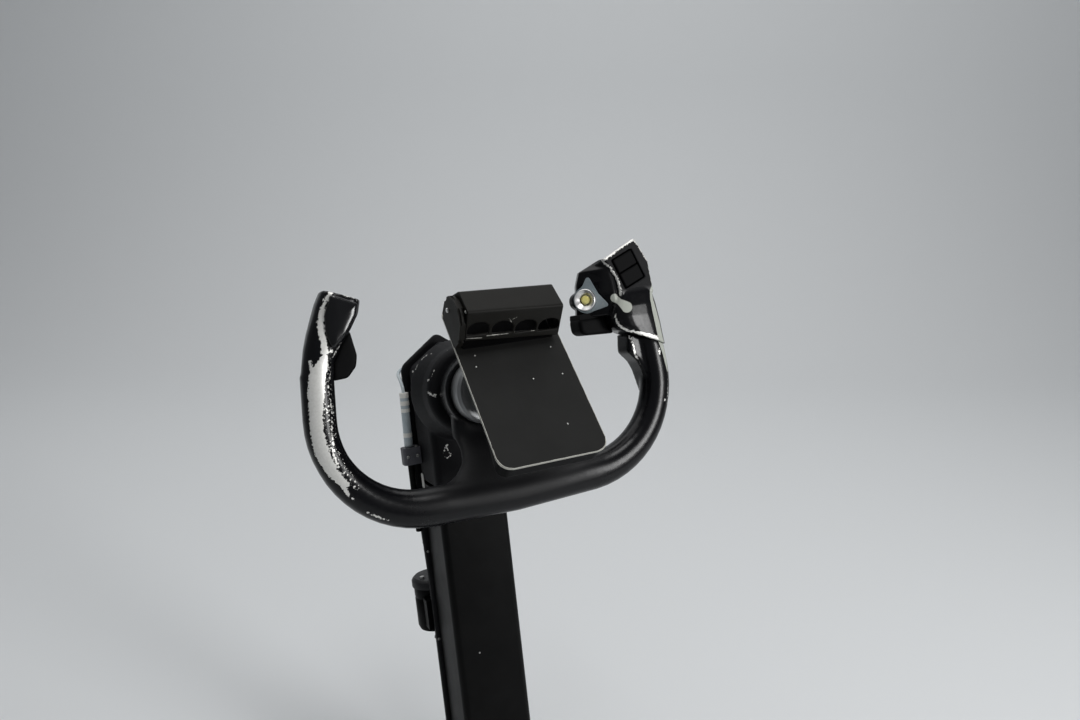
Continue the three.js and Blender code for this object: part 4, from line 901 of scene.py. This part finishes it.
# Screws, rivets, bolts, washers and marker bands, all from one tree of geometry nodes: a round or
# six-sided head with a chamfered crown, slotted where a slot's width is given, set on each point
# and facing its own way. They are zinc-plated steel or take the paint of what they hold.
heads = bpy.data.node_groups.new("fastener_heads", "GeometryNodeTree")
HEAD_INPUTS = [
    ("Points", "NodeSocketGeometry", None), ("Radius", "NodeSocketFloat", 2.0 * MM),
    ("Height", "NodeSocketFloat", 1.0 * MM), ("Crown", "NodeSocketFloat", 0.8),
    ("Slot", "NodeSocketFloat", 0.0), ("Sides", "NodeSocketInt", 24), ("Seed", "NodeSocketInt", 7),
    ("Material", "NodeSocketMaterial", None),
]
for name, kind, value in HEAD_INPUTS:
    socket = heads.interface.new_socket(name, in_out="INPUT", socket_type=kind)
    if value is not None:
        socket.default_value = value
heads.interface.new_socket("Heads", in_out="OUTPUT", socket_type="NodeSocketGeometry")
given = heads.nodes.new("NodeGroupInput").outputs
SUNK, SHOULDER, SLOT_DEEP = 0.15, 0.6, 0.55
blank = add_node(heads, "GeometryNodeMeshCylinder",
                 {"Vertices": given["Sides"], "Side Segments": 2, "Radius": given["Radius"],
                  "Depth": given["Height"]})
# The blank has rings at its foot, middle and top: the middle one rises and the top one draws in.
position = add_node(heads, "GeometryNodeInputPosition")
spot = add_node(heads, "ShaderNodeSeparateXYZ", {0: position}).node.outputs
level = add_node(heads, "ShaderNodeMath", {0: spot["Z"], 1: given["Height"]}, operation="DIVIDE")
on_top = add_node(heads, "ShaderNodeMath", {0: level, 1: 0.25}, operation="GREATER_THAN")
at_middle = add_node(heads, "ShaderNodeMath", {0: level, 1: 0.0, 2: 0.1}, operation="COMPARE")
draw_in = add_node(heads, "ShaderNodeMapRange", {"Value": on_top, "To Min": 1.0, "To Max": given["Crown"]})
risen = add_node(heads, "ShaderNodeMath", {0: at_middle, 1: SHOULDER - 0.5, 2: level},
                 operation="MULTIPLY_ADD")
lifted = add_node(heads, "ShaderNodeMath", {0: risen, 1: 0.5 - SUNK}, operation="ADD")
height_at = add_node(heads, "ShaderNodeMath", {0: lifted, 1: given["Height"]}, operation="MULTIPLY")
across_at = add_node(heads, "ShaderNodeMath", {0: spot["X"], 1: draw_in}, operation="MULTIPLY")
forward_at = add_node(heads, "ShaderNodeMath", {0: spot["Y"], 1: draw_in}, operation="MULTIPLY")
shaped = add_node(heads, "ShaderNodeCombineXYZ", {"X": across_at, "Y": forward_at, "Z": height_at})
head = add_node(heads, "GeometryNodeSetPosition", {"Geometry": blank, "Position": shaped})
blade_long = add_node(heads, "ShaderNodeMath", {0: given["Radius"], 1: 3.0}, operation="MULTIPLY")
blade_size = add_node(heads, "ShaderNodeCombineXYZ",
                      {"X": blade_long, "Y": given["Slot"], "Z": given["Height"]})
blade = add_node(heads, "GeometryNodeMeshCube", {"Size": blade_size})
blade_up = add_node(heads, "ShaderNodeMath", {0: given["Height"], 1: 1.5 - SUNK - SLOT_DEEP},
                    operation="MULTIPLY")
blade_at = add_node(heads, "ShaderNodeCombineXYZ", {"Z": blade_up})
blade = add_node(heads, "GeometryNodeTransform", {"Geometry": blade, "Translation": blade_at})
slotted = add_node(heads, "GeometryNodeMeshBoolean", {"Mesh 1": head, "Mesh 2": blade},
                   operation="DIFFERENCE")
has_slot = add_node(heads, "FunctionNodeCompare", {0: given["Slot"], 1: 0.0}, data_type="FLOAT",
                    operation="GREATER_THAN")
chosen = add_node(heads, "GeometryNodeSwitch", {"Switch": has_slot, "False": head, "True": slotted},
                  input_type="GEOMETRY")
way_out = add_node(heads, "GeometryNodeInputNamedAttribute", {"Name": "facing"}, data_type="FLOAT_VECTOR")
stand = add_node(heads, "FunctionNodeAlignRotationToVector", {"Vector": way_out}, axis="Z")
spin = add_node(heads, "FunctionNodeRandomValue", {"Max": 2 * math.pi, "Seed": given["Seed"]},
                data_type="FLOAT")
spin_about = add_node(heads, "ShaderNodeCombineXYZ", {"Z": spin})
spin_turn = add_node(heads, "FunctionNodeEulerToRotation", {0: spin_about})
turned_heads = add_node(heads, "FunctionNodeRotateRotation", {"Rotation": stand, "Rotate By": spin_turn},
                        rotation_space="LOCAL")
placed_heads = add_node(heads, "GeometryNodeInstanceOnPoints",
                        {"Points": given["Points"], "Instance": chosen, "Rotation": turned_heads})
real_heads = add_node(heads, "GeometryNodeRealizeInstances", {"Geometry": placed_heads})
painted_heads = add_node(heads, "GeometryNodeSetMaterial",
                         {"Geometry": real_heads, "Material": given["Material"]})
add_node(heads, "NodeGroupOutput", {"Heads": painted_heads})


# Zinc plate: paler than steel, with a cloudy gloss that changes over 4 mm
zinc, tree, shader = new_material("zinc_plated_steel", Metallic=1.0)
place = add_node(tree, "ShaderNodeTexCoord", output="Object")
spangle = add_node(tree, "ShaderNodeTexNoise", {"Vector": place, "Scale": 260.0, "Detail": 3.0})
plate_tone = add_node(tree, "ShaderNodeMix",
                      {"Factor": spangle, "A": linear("#a2a3a3"), "B": linear("#c9c8c3")}, data_type="RGBA")
gloss = add_node(tree, "ShaderNodeMapRange", {"Value": spangle, "To Min": 0.25, "To Max": 0.45})
feed(tree, shader, {"Base Color": plate_tone, "Roughness": gloss})


# Runs the tree on places given in a part's own millimetres, each with the way its head faces. The
# radius, the height and the slot's width are given in millimetres too.
def fasteners(name, rows, place, body, material=zinc, slot="bare_steel", **sizes):
    seats = bpy.data.meshes.new("seats")
    seats.from_pydata([place @ (Vector(at) * MM) for at, _ in rows], [], [])
    facing = seats.attributes.new("facing", "FLOAT_VECTOR", "POINT")
    facing.data.foreach_set("vector", [c for _, out in rows for c in place.to_3x3() @ Vector(out)])
    carrier = bpy.data.objects.new("carrier", seats)
    scene.collection.objects.link(carrier)
    modifier = carrier.modifiers.new("heads", "NODES")
    modifier.node_group = heads
    inputs = {"Material": material}
    for key, size in sizes.items():
        inputs[key] = size * MM if key in ("Radius", "Height", "Slot") else size
    for item in heads.interface.items_tree:
        if item.in_out == "INPUT" and item.name in inputs:
            modifier[item.identifier] = inputs[item.name]
    mesh = made_plain(carrier)
    mesh.shade_smooth()
    mesh.set_sharp_from_angle(angle=math.radians(30))
    add_piece(name, mesh, body, None)


REARWARD, FORWARD, UPWARD = (0, -1, 0), (0, 1, 0), (0, 0, 1)
RIVETS = [(-39, 53), (-42, 40), (42, 50), (42, 16), (10, 16), (25, -40)]
fasteners("board_rivets", [((x, 0, z), REARWARD) for x, z in RIVETS], BOARD, "wheel", Radius=0.9, Height=0.4,
          Crown=0.6, Sides=16)
fasteners("hood_screw", [((-50.5, -44.5, 73.5), (0.15, -0.9, -0.3))], BOARD, "clip", Radius=1.5, Height=1.2,
          Slot=0.4, Sides=20)
FLANGE_SCREWS = [(side * 45.5, z) for side in (-1, 1) for z in (116.7, 232.7, 348.7)]
fasteners("flange_screws", [((x, 29.3, z), REARWARD) for x, z in FLANGE_SCREWS], COLUMN, "column", Radius=1.7,
          Height=1.0, Slot=0.5)
nut_places = FLANGE_SCREWS + [(side * 45.5, z) for side in (-1, 1) for z in (464.7, 572)]
fasteners("flange_nuts", [((x, 38, z), FORWARD) for x, z in nut_places], COLUMN, "column", Radius=3.2,
          Height=2.6, Crown=0.9, Sides=6)
fasteners("box_screw", [((-15.2, BOX["front"], 231.4), REARWARD)], COLUMN, "column", Radius=1.1, Height=0.6,
          Slot=0.4)
CLAMP_SCREWS = [((x, CLAMP["front"], 476.5), REARWARD) for x in (-60, -48)]
fasteners("clamp_screws", CLAMP_SCREWS + [((-47.3, 17, CLAMP["high"]), UPWARD)], COLUMN, "column", Radius=2.0,
          Height=1.4, Slot=0.5)
fasteners("lid_nuts", [((x, y, LID_TOP), UPWARD) for x, y in ((-48.5, 64), (-18.5, 76))], COLUMN, "column",
          Radius=3.4, Height=2.8, Crown=0.9, Sides=6)
fasteners("foot_bolts", [((x, -34, z), REARWARD) for x in (-27, 27) for z in (24, 48)], COLUMN, "column",
          floor_paint, "satin_paint", Radius=4.6, Height=4, Crown=0.9, Sides=6)
FLOOR_BOLTS = [((x, y, PLATE_THICK), UPWARD) for x in (-128, 128) for y in (-88, 88)]
fasteners("floor_washers", FLOOR_BOLTS, FLOOR, "base", Radius=12.5, Height=1.6, Crown=0.97, Sides=40)
fasteners("floor_bolts", FLOOR_BOLTS, FLOOR, "base", Radius=9, Height=8.4, Crown=0.9, Sides=6)
BEARING_UP, BEARING_OUT, SCREW_RING = 70, 116, 31
ring_turns = [math.radians(a) for a in (45, 135, 225, 315)]
fasteners("bearing_screws",
          [((side * BEARING_OUT, SCREW_RING * math.cos(a), BEARING_UP + SCREW_RING * math.sin(a)),
            (side, 0, 0))
           for side in (-1, 1) for a in ring_turns], FLOOR, "base", Radius=3.4, Height=3, Slot=0.9)
fasteners("bracket_screws", [((x, 13.4, z), FORWARD) for x in (-25, 25) for z in (8, 52)], BOARD, "wheel",
          Radius=2.6, Height=1.6, Slot=0.7)
band_run = Vector((math.sin(math.radians(SLEEVE_LEAN)), 0, math.cos(math.radians(SLEEVE_LEAN))))
BANDS = [(62.5, 68.5), (53, 58.5), (44.5, 49), (13.5, 19)]
for count, (low, high) in enumerate(BANDS, 1):
    at = Vector((WIRE_AT[0], WIRE_AT[1], CLAMP["high"])) + band_run * low
    fasteners(f"marker_band_{count}", [(at, band_run)], COLUMN, "column", white_nylon, "sleeve", Radius=5.55,
              Height=high - low, Crown=0.99, Sides=48)
